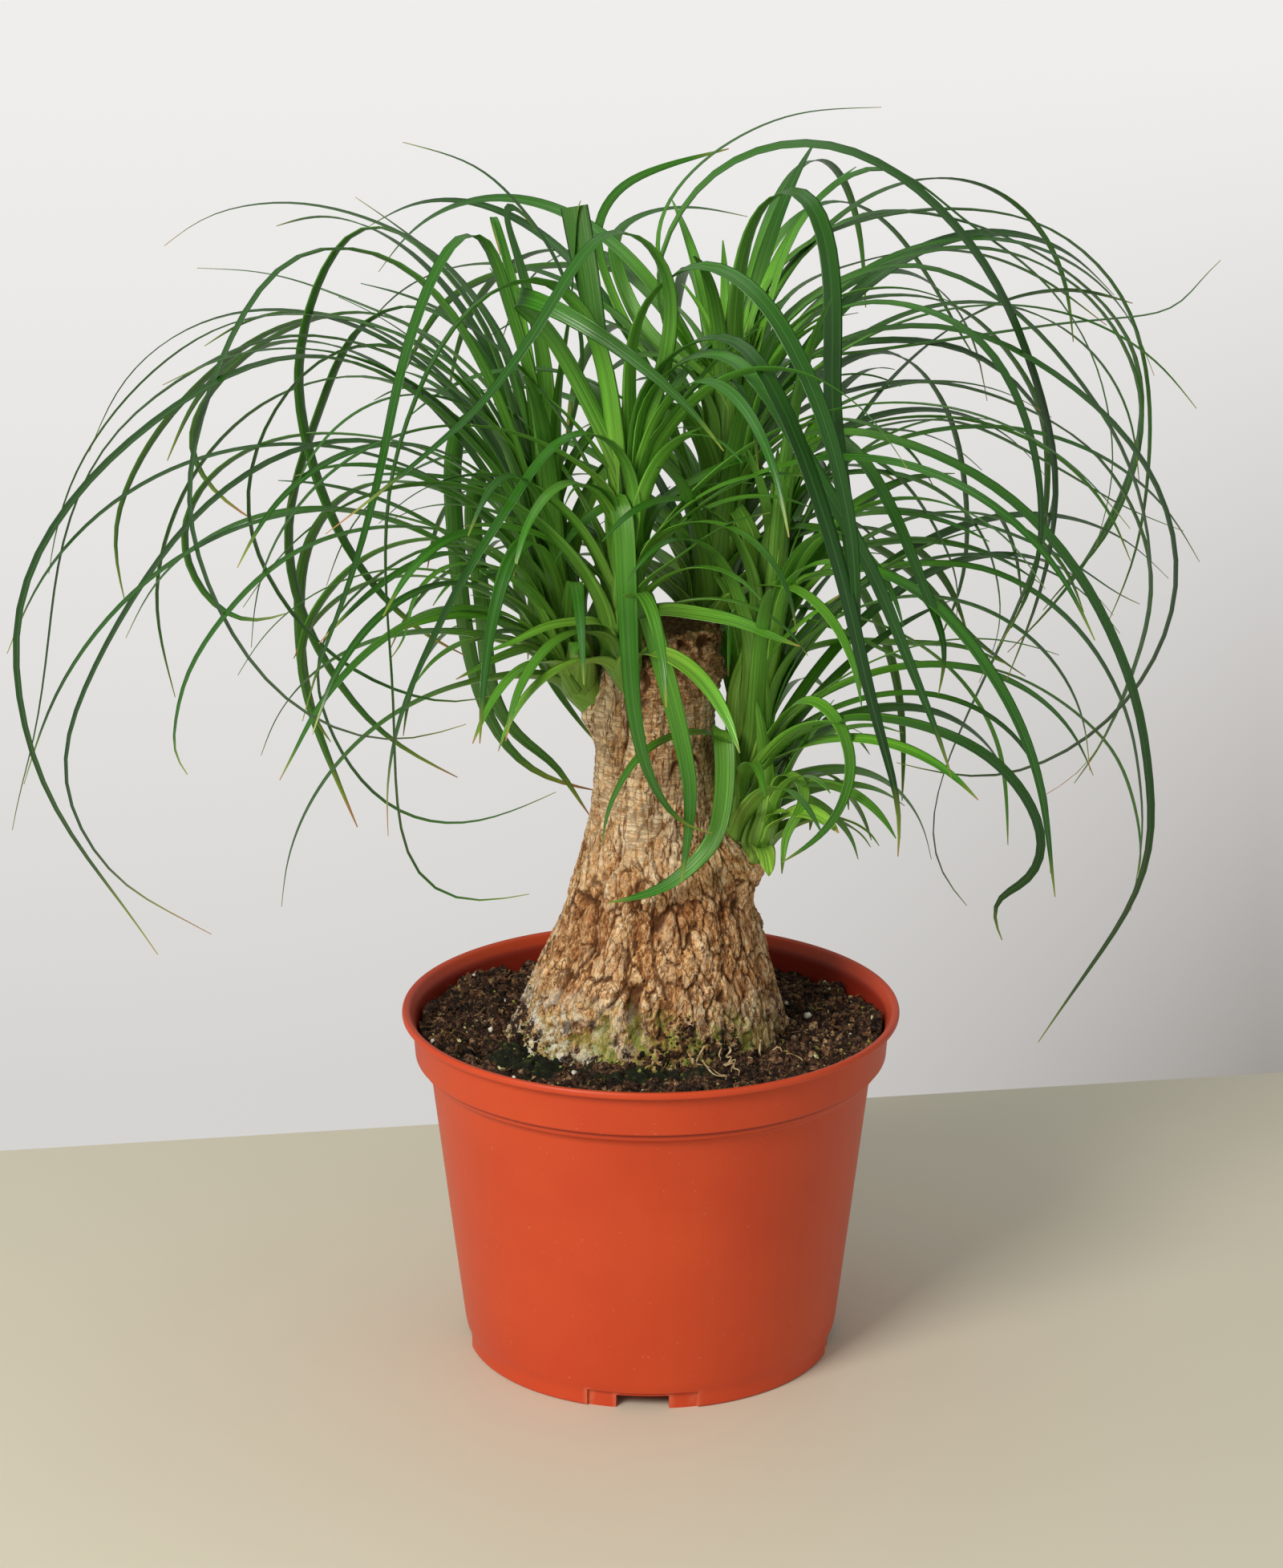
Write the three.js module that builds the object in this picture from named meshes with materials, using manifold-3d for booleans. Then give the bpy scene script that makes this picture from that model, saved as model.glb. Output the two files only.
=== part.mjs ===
// Potted ponytail palm in a 6 inch nursery pot, in millimetres, +Z up.
// The origin is the middle of the pot's foot, and the front of the plant faces -Y.
import * as THREE from 'three';
import { mergeVertices } from 'three/addons/utils/BufferGeometryUtils.js';
import Module from 'manifold-3d';

const wasm = await Module();
wasm.setup();

// Driving dimensions of the pot
const potHeight = 118;
const rimRadius = 82.5;
const lipHeight = 2.6;
const collarTopRadius = 79.2;
const collarRadius = 78.2;
const collarHeight = 13.8;
const collarLedge = 1.8;
const bodyTopRadius = 73.4;
const footRadius = 62.9;
const skirtHeight = 7.6;
const skirtStep = 0.8;
const potWall = 1.3;
const floorHeight = 5.2;
const floorThickness = 1.4;
const footRingWidth = 4;
const padRadius = 14;
const notchCount = 4;
const notchTurn = -92.6;
const notchPanelAngle = 34;
const notchPanelHeight = 6;
const notchPanelDepth = 1.3;
const notchAngle = 16.4;
const notchHeight = 4.4;
const drainCount = 6;
const drainRadius = 4;
const drainCircle = 46;
const potSides = 42;

// Driving dimensions of the soil and the trunk
const seat = 0.3;
const soilLevel = 105.5;
const soilFrontRise = 6;
const soilRoughness = 1.6;
const soilWallRise = 2.5;
const soilHeap = { x: -52, y: 38, rise: 5, wide: 18, deep: 16 };
const trunkTop = 248;
const trunkFoot = 84;
const trunkSides = 34;
const barkRidge = 1.5;

// Driving dimensions of the leaves
const fineSteps = 40;
const bendTolerance = 3.4;
const keelDepth = 1.3;
const tipWidth = 1.1;
const rootDepth = 0.5;
const clearance = 2.3;
const woodRoom = 5;
const potRoom = 32;
const keelTaper = 0.5;
const taperStart = 0.2;
const taperPower = 1.8;

// Driving dimensions of the leaves that fill a shoot by rule, in degrees and millimetres
const fillSeed = 101;
const fillShare = 0.618034;
const fillRoots = { lowest: 0.1, span: 0.65 };
const fillTurnSpread = 16;
const fillSlope = { least: 12, rise: 60, spread: 12 };
const fillBend = { short: 70, long: 160, spread: 24 };
const fillWidth = { narrow: 3.4, wide: 6.4 };
const fillTwist = 80;
const bendPieces = 9;
const bendPower = 1.25;
const steepestFall = -86;

const radians = THREE.MathUtils.degToRad;
const { lerp, clamp, smoothstep } = THREE.MathUtils;

// Solids: closed meshes to manifolds and back
function toManifold(geometry) {
  const bare = geometry.clone();
  bare.deleteAttribute('normal');
  bare.deleteAttribute('uv');
  const merged = mergeVertices(bare, 1e-4);
  return new wasm.Manifold(new wasm.Mesh({
    numProp: 3,
    vertProperties: new Float32Array(merged.attributes.position.array),
    triVerts: new Uint32Array(merged.index.array),
  }));
}

function toGeometry(solid) {
  const mesh = solid.getMesh();
  const geometry = new THREE.BufferGeometry();
  geometry.setAttribute('position', new THREE.BufferAttribute(mesh.vertProperties, 3));
  geometry.setIndex(new THREE.BufferAttribute(mesh.triVerts, 1));
  geometry.computeVertexNormals();
  return geometry;
}

function largestBody(solid) {
  const bodies = solid.decompose();
  bodies.sort((a, b) => b.volume() - a.volume());
  return bodies[0];
}

function named(name, solid, material) {
  const mesh = new THREE.Mesh(toGeometry(solid), material);
  mesh.name = name;
  return mesh;
}

// Rings of points, one list per level, closed with a fan at each end
function loft(rings) {
  const sides = rings[0].length;
  const points = rings.flat();
  const faces = [];
  for (let level = 0; level < rings.length - 1; level++) {
    for (let i = 0; i < sides; i++) {
      const a = level * sides + i;
      const b = level * sides + (i + 1) % sides;
      faces.push(a, b, b + sides, a, b + sides, a + sides);
    }
  }
  const ends = [[rings[0], 0], [rings[rings.length - 1], (rings.length - 1) * sides]];
  ends.forEach(([ring, start], end) => {
    const middle = new THREE.Vector3();
    ring.forEach((point) => middle.add(point));
    points.push(middle.divideScalar(sides));
    for (let i = 0; i < sides; i++) {
      const a = start + i;
      const b = start + (i + 1) % sides;
      faces.push(...(end === 0 ? [points.length - 1, b, a] : [points.length - 1, a, b]));
    }
  });
  const geometry = new THREE.BufferGeometry().setFromPoints(points);
  geometry.setIndex(faces);
  return toManifold(geometry);
}

// A lathe round the Z axis from a profile of [radius, height] that starts and ends on the axis
function turned(profile, sides) {
  const points = profile.map(([radius, height]) => new THREE.Vector2(radius, height));
  return toManifold(new THREE.LatheGeometry(points, sides).rotateX(Math.PI / 2));
}

// Pot
function bodyRadiusAt(height) {
  return lerp(footRadius, bodyTopRadius, (height - skirtHeight) / (bodyTop - skirtHeight));
}

const lipBase = potHeight - lipHeight;
const collarBottom = lipBase - collarHeight;
const bodyTop = collarBottom - 2 * collarLedge;

function potProfile() {
  const floorTop = floorHeight + floorThickness;
  return [
    [0, 0],
    [padRadius, 0],
    [padRadius, floorHeight],
    [footRadius - skirtStep - footRingWidth, floorHeight],
    [footRadius - skirtStep - footRingWidth + 0.6, 0],
    [footRadius - skirtStep - 0.5, 0],
    [footRadius - skirtStep, 0.8],
    [footRadius - skirtStep, skirtHeight - 0.6],
    [footRadius, skirtHeight],
    [bodyTopRadius, bodyTop],
    [collarRadius - collarLedge, collarBottom - collarLedge],
    [collarRadius - collarLedge * 0.8, collarBottom],
    [collarRadius, collarBottom + 0.6],
    [collarTopRadius, lipBase],
    [rimRadius, lipBase + 0.5],
    [rimRadius - 0.5, potHeight],
    [rimRadius - 2.6, potHeight - 0.5],
    [collarTopRadius - potWall, lipBase - 1.5],
    [collarRadius - potWall, collarBottom],
    [bodyRadiusAt(bodyTop) - potWall, bodyTop - 1],
    [bodyRadiusAt(floorTop + 2) - potWall, floorTop + 2],
    [bodyRadiusAt(floorTop + 2) - potWall - 2, floorTop],
    [0, floorTop],
  ];
}

// A block in the shape of a ring sector, for cutting the foot
function sector(innerRadius, outerRadius, bottom, top, angle) {
  const shape = new THREE.Shape();
  shape.absarc(0, 0, outerRadius, -radians(angle) / 2, radians(angle) / 2, false);
  shape.absarc(0, 0, innerRadius, radians(angle) / 2, -radians(angle) / 2, true);
  shape.closePath();
  const settings = { depth: top - bottom, bevelEnabled: false, curveSegments: 6 };
  return new THREE.ExtrudeGeometry(shape, settings).translate(0, 0, bottom);
}

function makePot() {
  let pot = turned(potProfile(), potSides);
  for (let i = 0; i < notchCount; i++) {
    const turn = radians(notchTurn + i * 360 / notchCount);
    const outside = footRadius + 5;
    const skirt = footRadius - skirtStep;
    const panel = sector(skirt - notchPanelDepth, outside, -1, notchPanelHeight, notchPanelAngle);
    const opening = sector(skirt - footRingWidth - 3, outside, -1, notchHeight, notchAngle);
    pot = pot.subtract(toManifold(panel.rotateZ(turn)));
    pot = pot.subtract(toManifold(opening.rotateZ(turn)));
  }
  for (let i = 0; i < drainCount; i++) {
    const turn = radians(notchTurn + i * 360 / drainCount);
    const hole = new THREE.CylinderGeometry(drainRadius, drainRadius, 12, 8);
    hole.rotateX(Math.PI / 2);
    hole.translate(drainCircle * Math.cos(turn), drainCircle * Math.sin(turn), floorHeight);
    pot = pot.subtract(toManifold(hole));
  }
  return pot;
}

// Trunk: the middle and the radius of the woody body at some heights, seen from the front
const trunkRings = [
  { height: trunkFoot, x: -1, radius: 34 },
  { height: 92, x: -1, radius: 44 },
  { height: 105, x: -1.5, radius: 47.5 },
  { height: 115, x: 0, radius: 44.5 },
  { height: 130, x: 1.5, radius: 39.5 },
  { height: 147, x: 3, radius: 33 },
  { height: 165, x: 2.8, radius: 27.4 },
  { height: 185, x: 1.3, radius: 21.5 },
  { height: 200, x: 1.5, radius: 19.5 },
  { height: 220, x: 2, radius: 18.5 },
  { height: 235, x: 3, radius: 19 },
  { height: trunkTop, x: 3, radius: 18 },
];

// Woody knobs that the shoots stand on: direction, height, how far out and how wide
const trunkKnobs = [
  { turn: 187, height: 219, out: 6, spread: 7 },
  { turn: -8, height: 170, out: 7.5, spread: 8 },
  { turn: -20, height: 166, out: 4, spread: 7 },
  { turn: -118, height: 228, out: 3.5, spread: 6 },
  { turn: 38, height: 240, out: 3.5, spread: 6 },
];

function trunkMiddleAt(height) {
  let k = 1;
  while (k < trunkRings.length - 1 && trunkRings[k].height < height) k++;
  const low = trunkRings[k - 1];
  const high = trunkRings[k];
  const t = clamp((height - low.height) / (high.height - low.height), 0, 1);
  return { x: lerp(low.x, high.x, t), radius: lerp(low.radius, high.radius, t) };
}

function barkAt(angle, height) {
  const wander = 0.35 * Math.sin(height * 0.11) + 0.2 * Math.sin(height * 0.23 + 1);
  const ridges = Math.sin(11 * (angle + wander)) * 0.6 + Math.sin(17 * angle - wander * 3) * 0.4;
  const low = 1 - smoothstep(height, 150, 215);
  const scars = Math.sin(height * 0.9 + 2 * Math.sin(3 * angle)) * 0.35;
  return barkRidge * (ridges * (0.25 + 0.75 * low) + scars);
}

function knobAt(angle, height, radius) {
  let out = 0;
  for (const knob of trunkKnobs) {
    const across = radius * Math.sin((angle - radians(knob.turn)) / 2) * 2;
    const away = Math.hypot(across, height - knob.height) / knob.spread;
    out += knob.out * Math.exp(-away * away);
  }
  return out;
}

function makeTrunk(grown) {
  const heights = [trunkFoot, 94, 104, 111, 118, 125, 132, 139, 146, 153, 159, 164, 168, 172, 176, 181, 187,
    194, 201, 208, 214, 219, 224, 230, 236, 242, trunkTop];
  const rings = heights.map((height) => {
    const { x, radius } = trunkMiddleAt(height);
    const ring = [];
    for (let i = 0; i < trunkSides; i++) {
      const angle = i / trunkSides * 2 * Math.PI;
      const bark = height < 100 || height === trunkTop ? 0 : barkAt(angle, height);
      const reach = radius + bark + knobAt(angle, height, radius) + grown;
      const lift = height === trunkTop ? grown : 0;
      const drop = height === trunkFoot ? grown : 0;
      ring.push(new THREE.Vector3(
        x + reach * Math.cos(angle), reach * Math.sin(angle), height + lift - drop));
    }
    return ring;
  });
  return loft(rings);
}

// Soil: fills the pot, with a rough top that is higher in front
function soilTopAt(x, y) {
  const front = soilFrontRise * clamp(0.5 - y / 100, 0, 1);
  const rough = Math.sin(x * 0.23 + 1.7 * Math.sin(y * 0.11)) * Math.cos(y * 0.19 + x * 0.05);
  const wall = soilWallRise * smoothstep(Math.hypot(x, y), 66, 76);
  const offHeap = ((x - soilHeap.x) / soilHeap.wide) ** 2 + ((y - soilHeap.y) / soilHeap.deep) ** 2;
  return soilLevel + front + soilRoughness * rough + wall + soilHeap.rise * Math.exp(-offHeap);
}

function makeSoil(trunkHole) {
  const bottom = floorHeight + floorThickness + seat;
  const gap = potWall + 2 * seat;
  const walls = [
    [bodyRadiusAt(bottom + 2) - gap - 2, bottom],
    [bodyRadiusAt(bottom + 2) - gap, bottom + 2.5],
    [bodyRadiusAt(bodyTop) - gap, bodyTop - 1],
    [collarRadius - gap, collarBottom + 0.4],
  ];
  const ringAt = (radius, heightAt) => Array.from({ length: potSides }, (_, i) => {
    const angle = i / potSides * 2 * Math.PI;
    const x = radius * Math.cos(angle);
    const y = radius * Math.sin(angle);
    return new THREE.Vector3(x, y, heightAt(x, y));
  });
  const rings = walls.map(([radius, height]) => ringAt(radius, () => height));
  for (const share of [1, 0.93, 0.83, 0.7]) {
    rings.push(ringAt((collarRadius - gap) * share, soilTopAt));
  }
  return largestBody(loft(rings).subtract(trunkHole));
}

// Shoots. Each stem is a row of [x, y, height, radius], from the trunk up.
// Each leaf gives how far up the stem it grows, its width, how far its tip lies behind (+) or before (-)
// its root, its twist in degrees and its course, as [across, up] in the upright plane through the
// middle of the pot, as it shows from the viewpoint.
const viewpoint = new THREE.Vector3(-3, -1128, 528);

const shoots = [
  {
    name: 'head_left',
    stem: [[-21, -2, 224, 6.5], [-25, -4, 233, 8], [-27, -5, 246, 7.5], [-30, -5, 268, 5.5],
      [-33, -5, 290, 3.5]],
    fill: { count: 16, from: 75, to: 290, long: 190, short: 90 },
    leaves: [
      { from: 0.8, wide: 6.6, away: -95, twist: 10,
        seen: [-45, 310, -56, 336, -70, 357, -88, 368, -112, 367.5, -130, 344, -142, 315, -148, 285,
          -138, 250, -120, 223, -96, 209, -76, 208, -60, 214] },
      { from: 0.9, wide: 6.5, away: 35, twist: 25,
        seen: [-50, 338, -66, 362, -86, 378, -101, 364, -110, 338, -111, 318, -104, 288, -92, 264,
          -75, 245, -60, 237] },
      { from: 0.7, wide: 5, away: 70, twist: 15,
        seen: [-46, 318, -56, 340, -74, 352, -93, 343, -104, 318, -114, 290, -116, 268, -108, 240,
          -88, 211, -63, 196] },
      { from: 0.6, wide: 6.2, away: -130, twist: 0,
        seen: [-42, 285, -62, 312, -90, 332, -115, 334.5, -140, 325, -170, 303, -190, 281, -203, 256,
          -205, 226, -198, 192, -182, 164, -171, 149, -163, 135] },
      { from: 0.65, wide: 5.6, away: -60, twist: 20,
        seen: [-45, 305, -65, 326, -90, 338, -115, 341.5, -142, 331, -172, 308, -188, 275, -195, 235,
          -201, 205, -209, 184, -209, 178] },
      { from: 0.75, wide: 3.2, away: 40, twist: 0,
        seen: [-48, 315, -72, 338, -105, 347.5, -135, 344, -162, 325, -182, 299, -191, 275,
          -193, 264] },
      { from: 0.95, wide: 3.4, away: 60, twist: 0,
        seen: [-45, 315, -66, 338, -90, 350, -118, 360, -142, 362] },
      { from: 0.5, wide: 4, away: 95, twist: 20,
        seen: [-44, 300, -66, 332, -95, 347, -122, 341, -147, 321, -163, 300, -172, 277, -169, 255] },
      { from: 0.55, wide: 3.6, away: 120, twist: 20,
        seen: [-42, 296, -64, 334, -88, 348.5, -118, 341, -140, 322, -147, 304, -137, 288, -126, 281] },
      { from: 0.6, wide: 3.4, away: 65, twist: 0,
        seen: [-50, 302, -70, 320, -91, 328.5, -120, 321, -143, 300, -156, 273, -159, 250, -154, 223] },
      { from: 0.7, wide: 6.8, away: -40, twist: 30,
        seen: [-50, 314, -68, 332, -88, 339, -108, 331, -124, 308, -129, 283, -120, 258, -103, 237,
          -82, 225, -62, 220, -50, 224] },
      { from: 0.35, wide: 6, away: -85, twist: 0,
        seen: [-40, 272, -58, 294, -84, 307, -112, 305, -140, 288, -162, 262, -182, 228, -192, 200,
          -186, 176, -172, 157, -155, 148.5, -145, 142] },
      { from: 0.4, wide: 4.6, away: 50, twist: 20,
        seen: [-44, 282, -66, 302, -92, 309, -118, 308, -140, 296, -150, 276, -143, 256, -130, 247,
          -117, 251] },
      { from: 0.25, wide: 5, away: -110, twist: 10,
        seen: [-40, 262, -62, 277, -88, 279, -112, 272, -132, 256, -150, 231, -155, 209, -157, 203,
          -151, 197] },
      { from: 0.3, wide: 5, away: 90, twist: 30,
        seen: [-42, 268, -60, 288, -82, 294.5, -100, 288, -111, 270, -113, 245, -111, 222, -104, 200,
          -96, 179] },
      { from: 0.2, wide: 5.6, away: 30, twist: 30,
        seen: [-42, 262, -64, 275, -88, 271, -105, 256, -113, 238, -110, 218, -104, 208] },
      { from: 0.3, wide: 5.2, away: -30, twist: 20,
        seen: [-42, 265, -66, 274, -88, 263, -104, 246, -108, 226, -98, 200, -82, 184, -62, 180,
          -44, 185, -31, 191] },
      { from: 0.15, wide: 5, away: -70, twist: 0,
        seen: [-38, 255, -60, 270, -76, 267, -92, 256, -107, 241] },
      { from: 0.1, wide: 5.2, away: -60, twist: 0,
        seen: [-36, 243, -52, 252, -72, 250, -90, 239, -106, 222, -115, 206, -121, 195] },
      { from: 0.2, wide: 4.8, away: -30, twist: 0,
        seen: [-36, 256, -50, 266, -66, 266, -76, 256, -79, 243, -84, 236] },
      { from: 0.15, wide: 4.2, away: -15, twist: 0,
        seen: [-36, 255, -47, 264, -58, 260, -64, 261, -70, 259] },
      { from: 0.1, wide: 4.6, away: 20, twist: 0,
        seen: [-36, 248, -46, 254, -58, 257] },
      { from: 0.05, wide: 4.4, away: -20, twist: 0,
        seen: [-34, 240, -43, 244.5, -52, 244, -60, 241] },
      { from: 0.05, wide: 4.6, away: -35, twist: 0,
        seen: [-36, 238, -46, 237, -55, 233, -63, 229] },
      { from: 0.5, wide: 7, away: 60, twist: 50,
        seen: [-40, 288, -49, 309, -57, 318, -63, 303, -62, 270, -59, 240, -52, 214, -38, 197,
          -18, 191.5] },
      { from: 0.35, wide: 6.6, away: 45, twist: 50,
        seen: [-38, 272, -46, 292, -53, 300, -57, 284, -54, 255, -52, 226, -44, 210, -31, 201, -26, 192,
          -20, 183] },
      { from: 0.2, wide: 3.2, away: 75, twist: 0,
        seen: [-38, 262, -43, 266, -40, 248, -33, 230, -24, 216, -17, 207] },
      { from: 1, wide: 4, away: 30, twist: 0,
        seen: [-38, 325, -42, 350, -48, 375, -50, 380, -47, 366] },
      { from: 1, wide: 6.6, away: 50, twist: 60,
        seen: [-34, 330, -40, 358, -46, 380, -42, 381, -36, 374] },
      { from: 0.98, wide: 6.8, away: -10, twist: 80,
        seen: [-29, 320, -25, 350, -23, 381, -22, 383] },
      { from: 0.9, wide: 5.8, away: -75, twist: 20,
        seen: [-36, 316, -45, 350, -54, 376, -66, 364, -78, 332, -86, 296, -96, 262, -108, 232,
          -113, 215] },
      { from: 0.85, wide: 2.6, away: 20, twist: 0,
        seen: [-22, 330, -28, 360, -40, 380, -55, 394, -77, 401] },
      { from: 0.8, wide: 4.8, away: 15, twist: 0,
        seen: [-42, 328, -62, 361, -85, 376, -112, 382.5, -137, 379, -152, 369] },
      { from: 0.75, wide: 4.8, away: 110, twist: 20,
        seen: [-44, 330, -60, 358, -78, 374, -92, 384] },
    ],
  },
  {
    name: 'head_front',
    stem: [[-8, -18, 234, 5], [-10, -21, 243, 6.5], [-9, -22, 258, 6], [-8, -22, 280, 5],
      [-8, -22, 302, 3.5]],
    fill: { count: 8, from: 190, to: 370, long: 100, short: 60 },
    leaves: [
      { from: 0.9, wide: 8, away: -75, twist: 35,
        seen: [-13, 318, -18, 342, -27, 356, -39, 360.5, -52, 354, -65, 340, -76, 316, -83, 294,
          -85, 262, -83, 225, -83, 190, -80, 166, -70, 154, -55, 152.5, -40, 156] },
      { from: 1, wide: 6.4, away: -80, twist: 30,
        seen: [2, 325, 6, 350, 2, 366, -10, 375, -21, 367, -34, 345, -52, 320, -72, 302, -92, 286,
          -104, 277] },
      { from: 0.4, wide: 7, away: -50, twist: 20,
        seen: [-6, 282, -8, 300, -14, 308, -22, 311, -32, 305, -46, 284, -60, 262, -72, 238, -81, 217,
          -86, 194, -86, 176] },
      { from: 0.35, wide: 8, away: -22, twist: 70,
        seen: [-12, 280, -12, 291, -9, 286, -8, 268, -7, 245, -6, 225, -3, 205, 3, 189, 12, 178.5,
          20, 177] },
      { from: 0.2, wide: 6.6, away: -20, twist: 60,
        seen: [-6, 256, -4, 259, 0, 247, 5, 229, 10, 209, 13, 192, 12, 174, 10, 160] },
      { from: 0.1, wide: 5.4, away: -22, twist: 0,
        seen: [-15, 246, -24, 247.5, -34, 246, -45, 241, -55, 237.5] },
      { from: 0.3, wide: 6.6, away: 45, twist: 10,
        seen: [-13, 268, -22, 281, -28, 284, -27, 276] },
      { from: 0.45, wide: 5.6, away: -18, twist: 0,
        seen: [-12, 284, -17, 292, -24, 293, -28, 285] },
      { from: 0.5, wide: 6.6, away: 20, twist: 15,
        seen: [0, 282, 12, 293, 28, 301, 34, 300, 42, 288, 48, 270, 48, 255] },
      { from: 0.35, wide: 6, away: -25, twist: 15,
        seen: [-3, 268, 8, 283, 22, 292.5, 38, 296.5, 55, 295] },
      { from: 0.25, wide: 5.8, away: -30, twist: 15,
        seen: [-3, 258, 10, 270, 24, 280, 38, 284] },
      { from: 0.15, wide: 6.2, away: -26, twist: 30,
        seen: [-4, 248, 4, 251.5, 15, 250.5, 28, 248, 40, 243, 48, 240] },
      { from: 0.95, wide: 7.4, away: -70, twist: 30,
        seen: [-6, 335, 0, 353, 12, 363.5, 24, 361, 36, 351, 46, 334, 54, 316, 60, 296, 65, 270,
          66, 245, 70, 222] },
      { from: 0.8, wide: 6.4, away: -80, twist: 25,
        seen: [-4, 318, 6, 334, 18, 341, 29, 339, 38, 325, 46, 308, 54, 286, 63, 256, 69, 230, 76, 205,
          82, 183, 81, 169] },
      { from: 0.7, wide: 7, away: -62, twist: 20,
        seen: [-3, 315, 5, 329, 17, 336, 28, 333, 38, 320, 48, 303, 60, 284, 72, 262, 83, 235, 93, 211,
          98, 196] },
      { from: 0.95, wide: 6.8, away: -55, twist: 45,
        seen: [-30, 340, -44, 353, -36, 352, -22, 345, -6, 334, 8, 322, 18, 311, 23, 304] },
      { from: 0.6, wide: 5, away: -40, twist: 10,
        seen: [-2, 300, 6, 314, 16, 326, 26, 328, 32, 314, 34, 298] },
    ],
  },
  {
    name: 'head_back',
    stem: [[17, 11, 240, 6], [20, 14, 256, 8], [22, 14, 280, 7], [24, 14, 308, 5.5],
      [25, 14, 330, 3.8]],
    fill: { count: 20, from: -5, to: 185, long: 215, short: 110 },
    leaves: [
      { from: 0.9, wide: 7.6, away: -20, twist: 30,
        seen: [8, 335, 1, 358, 8, 378, 22, 394, 48, 401.5, 72, 394, 92, 378, 108, 357, 121, 327,
          129, 295, 126, 262, 119, 240, 115, 229] },
      { from: 0.85, wide: 2.6, away: 30, twist: 0,
        seen: [8, 345, 2, 372, 10, 389, 26, 402, 46, 410, 71, 411.7] },
      { from: 0.95, wide: 2.8, away: 50, twist: 0,
        seen: [-2, 335, -17, 368, -12, 385, 2, 393, 24, 399] },
      { from: 0.9, wide: 4.2, away: 70, twist: 15,
        seen: [0, 340, -12, 368, -4, 378, 12, 381, 30, 378] },
      { from: 1, wide: 7.4, away: -60, twist: 50,
        seen: [27, 350, 31, 374, 40, 387, 49, 385, 55, 369, 57, 345, 57, 318, 62, 285, 66, 250,
          68, 226] },
      { from: 0.9, wide: 4.4, away: 60, twist: 10,
        seen: [34, 355, 52, 372, 76, 379, 100, 380.3, 124, 375, 146, 356, 156, 330, 158, 300, 155, 270,
          147, 248] },
      { from: 0.85, wide: 5, away: 95, twist: 20,
        seen: [38, 355, 60, 377, 84, 379.5, 110, 372, 134, 358, 152, 337, 155, 308, 146, 281, 132, 257,
          115, 238] },
      { from: 0.8, wide: 5, away: 30, twist: 20,
        seen: [44, 372, 60, 390, 75, 394, 98, 376, 122, 359, 138, 337, 145, 315, 147, 295, 142, 272] },
      { from: 0.75, wide: 5, away: 70, twist: 10,
        seen: [40, 345, 66, 361, 96, 368.7, 121, 364, 142, 348, 155, 322, 153, 296, 143, 272, 133, 262,
          126, 252] },
      { from: 0.7, wide: 3, away: 110, twist: 0,
        seen: [40, 350, 66, 364, 95, 367.5, 120, 360, 143, 344] },
      { from: 0.6, wide: 5.6, away: -20, twist: 10,
        seen: [38, 340, 60, 358, 82, 364, 110, 352, 132, 330, 151, 302, 160, 270, 159, 243, 152, 219,
          140, 196, 127, 189] },
      { from: 0.55, wide: 7, away: 40, twist: 30,
        seen: [40, 328, 62, 338, 94, 338, 114, 327, 128, 308, 128, 285, 117, 252, 105, 224, 95, 198,
          91, 177, 95, 161, 104, 152] },
      { from: 0.65, wide: 5.4, away: 15, twist: 0,
        seen: [38, 330, 66, 335, 96, 339.5, 130, 344.5, 164, 348.5, 171, 358, 178, 364.5] },
      { from: 0.5, wide: 6.2, away: -45, twist: 15,
        seen: [38, 322, 62, 341, 98, 343, 128, 328, 152, 307, 165, 284, 169, 262, 165, 241, 153, 220,
          136, 205, 110, 195, 80, 201] },
      { from: 0.45, wide: 5.2, away: 60, twist: 10,
        seen: [38, 310, 62, 323, 92, 326, 124, 315, 145, 299, 159, 272, 160, 250, 154, 227, 146, 206,
          138, 194] },
      { from: 0.6, wide: 4, away: 100, twist: 0,
        seen: [40, 338, 64, 352, 92, 352, 110, 338, 123, 318, 126, 296, 124, 268, 116, 246] },
      { from: 0.55, wide: 4.6, away: -60, twist: 20,
        seen: [38, 332, 60, 350, 82, 350, 103, 340, 117, 318, 124, 290, 123, 262, 112, 240] },
      { from: 0.35, wide: 4.2, away: 80, twist: 10,
        seen: [38, 295, 60, 308, 94, 314, 126, 300, 150, 286, 170, 278] },
      { from: 0.95, wide: 4, away: 120, twist: 20,
        seen: [30, 350, 40, 372, 56, 383, 72, 377, 86, 360, 99, 338, 104, 331] },
      { from: 0.4, wide: 5, away: 110, twist: 20,
        seen: [36, 305, 54, 328, 76, 336, 93, 318, 100, 290, 100, 262, 92, 240] },
      { from: 0.9, wide: 5, away: 100, twist: 20,
        seen: [12, 345, -8, 360, -38, 362, -64, 352, -80, 325] },
    ],
  },
  {
    name: 'head_right',
    stem: [[27, -4, 175, 4], [28.5, -5, 186, 4.5], [32, -6, 206, 6], [35, -6, 235, 6.5],
      [38, -6, 262, 5], [41, -8, 288, 3.5]],
    fill: { count: 15, from: -45, to: 110, long: 175, short: 80 },
    leaves: [
      { from: 0.9, wide: 7, away: -50, twist: 20,
        seen: [46, 305, 60, 311, 78, 307, 100, 298, 116, 287, 130, 273, 144, 252, 157, 222, 162, 195,
          164, 175, 159, 154, 148, 135, 138, 119, 129, 104] },
      { from: 0.6, wide: 6, away: -85, twist: 10,
        seen: [44, 262, 58, 268, 74, 264, 90, 255, 105, 238, 117, 219, 125, 200, 129, 183, 131, 168,
          133, 155] },
      { from: 0.25, wide: 7.6, away: -60, twist: 15,
        seen: [42, 205, 54, 213, 68, 216, 88, 213, 108, 204, 121, 191, 128, 176, 127, 165, 121, 158,
          113, 156, 112, 148, 116, 140] },
      { from: 0.2, wide: 5, away: -40, twist: 10,
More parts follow.
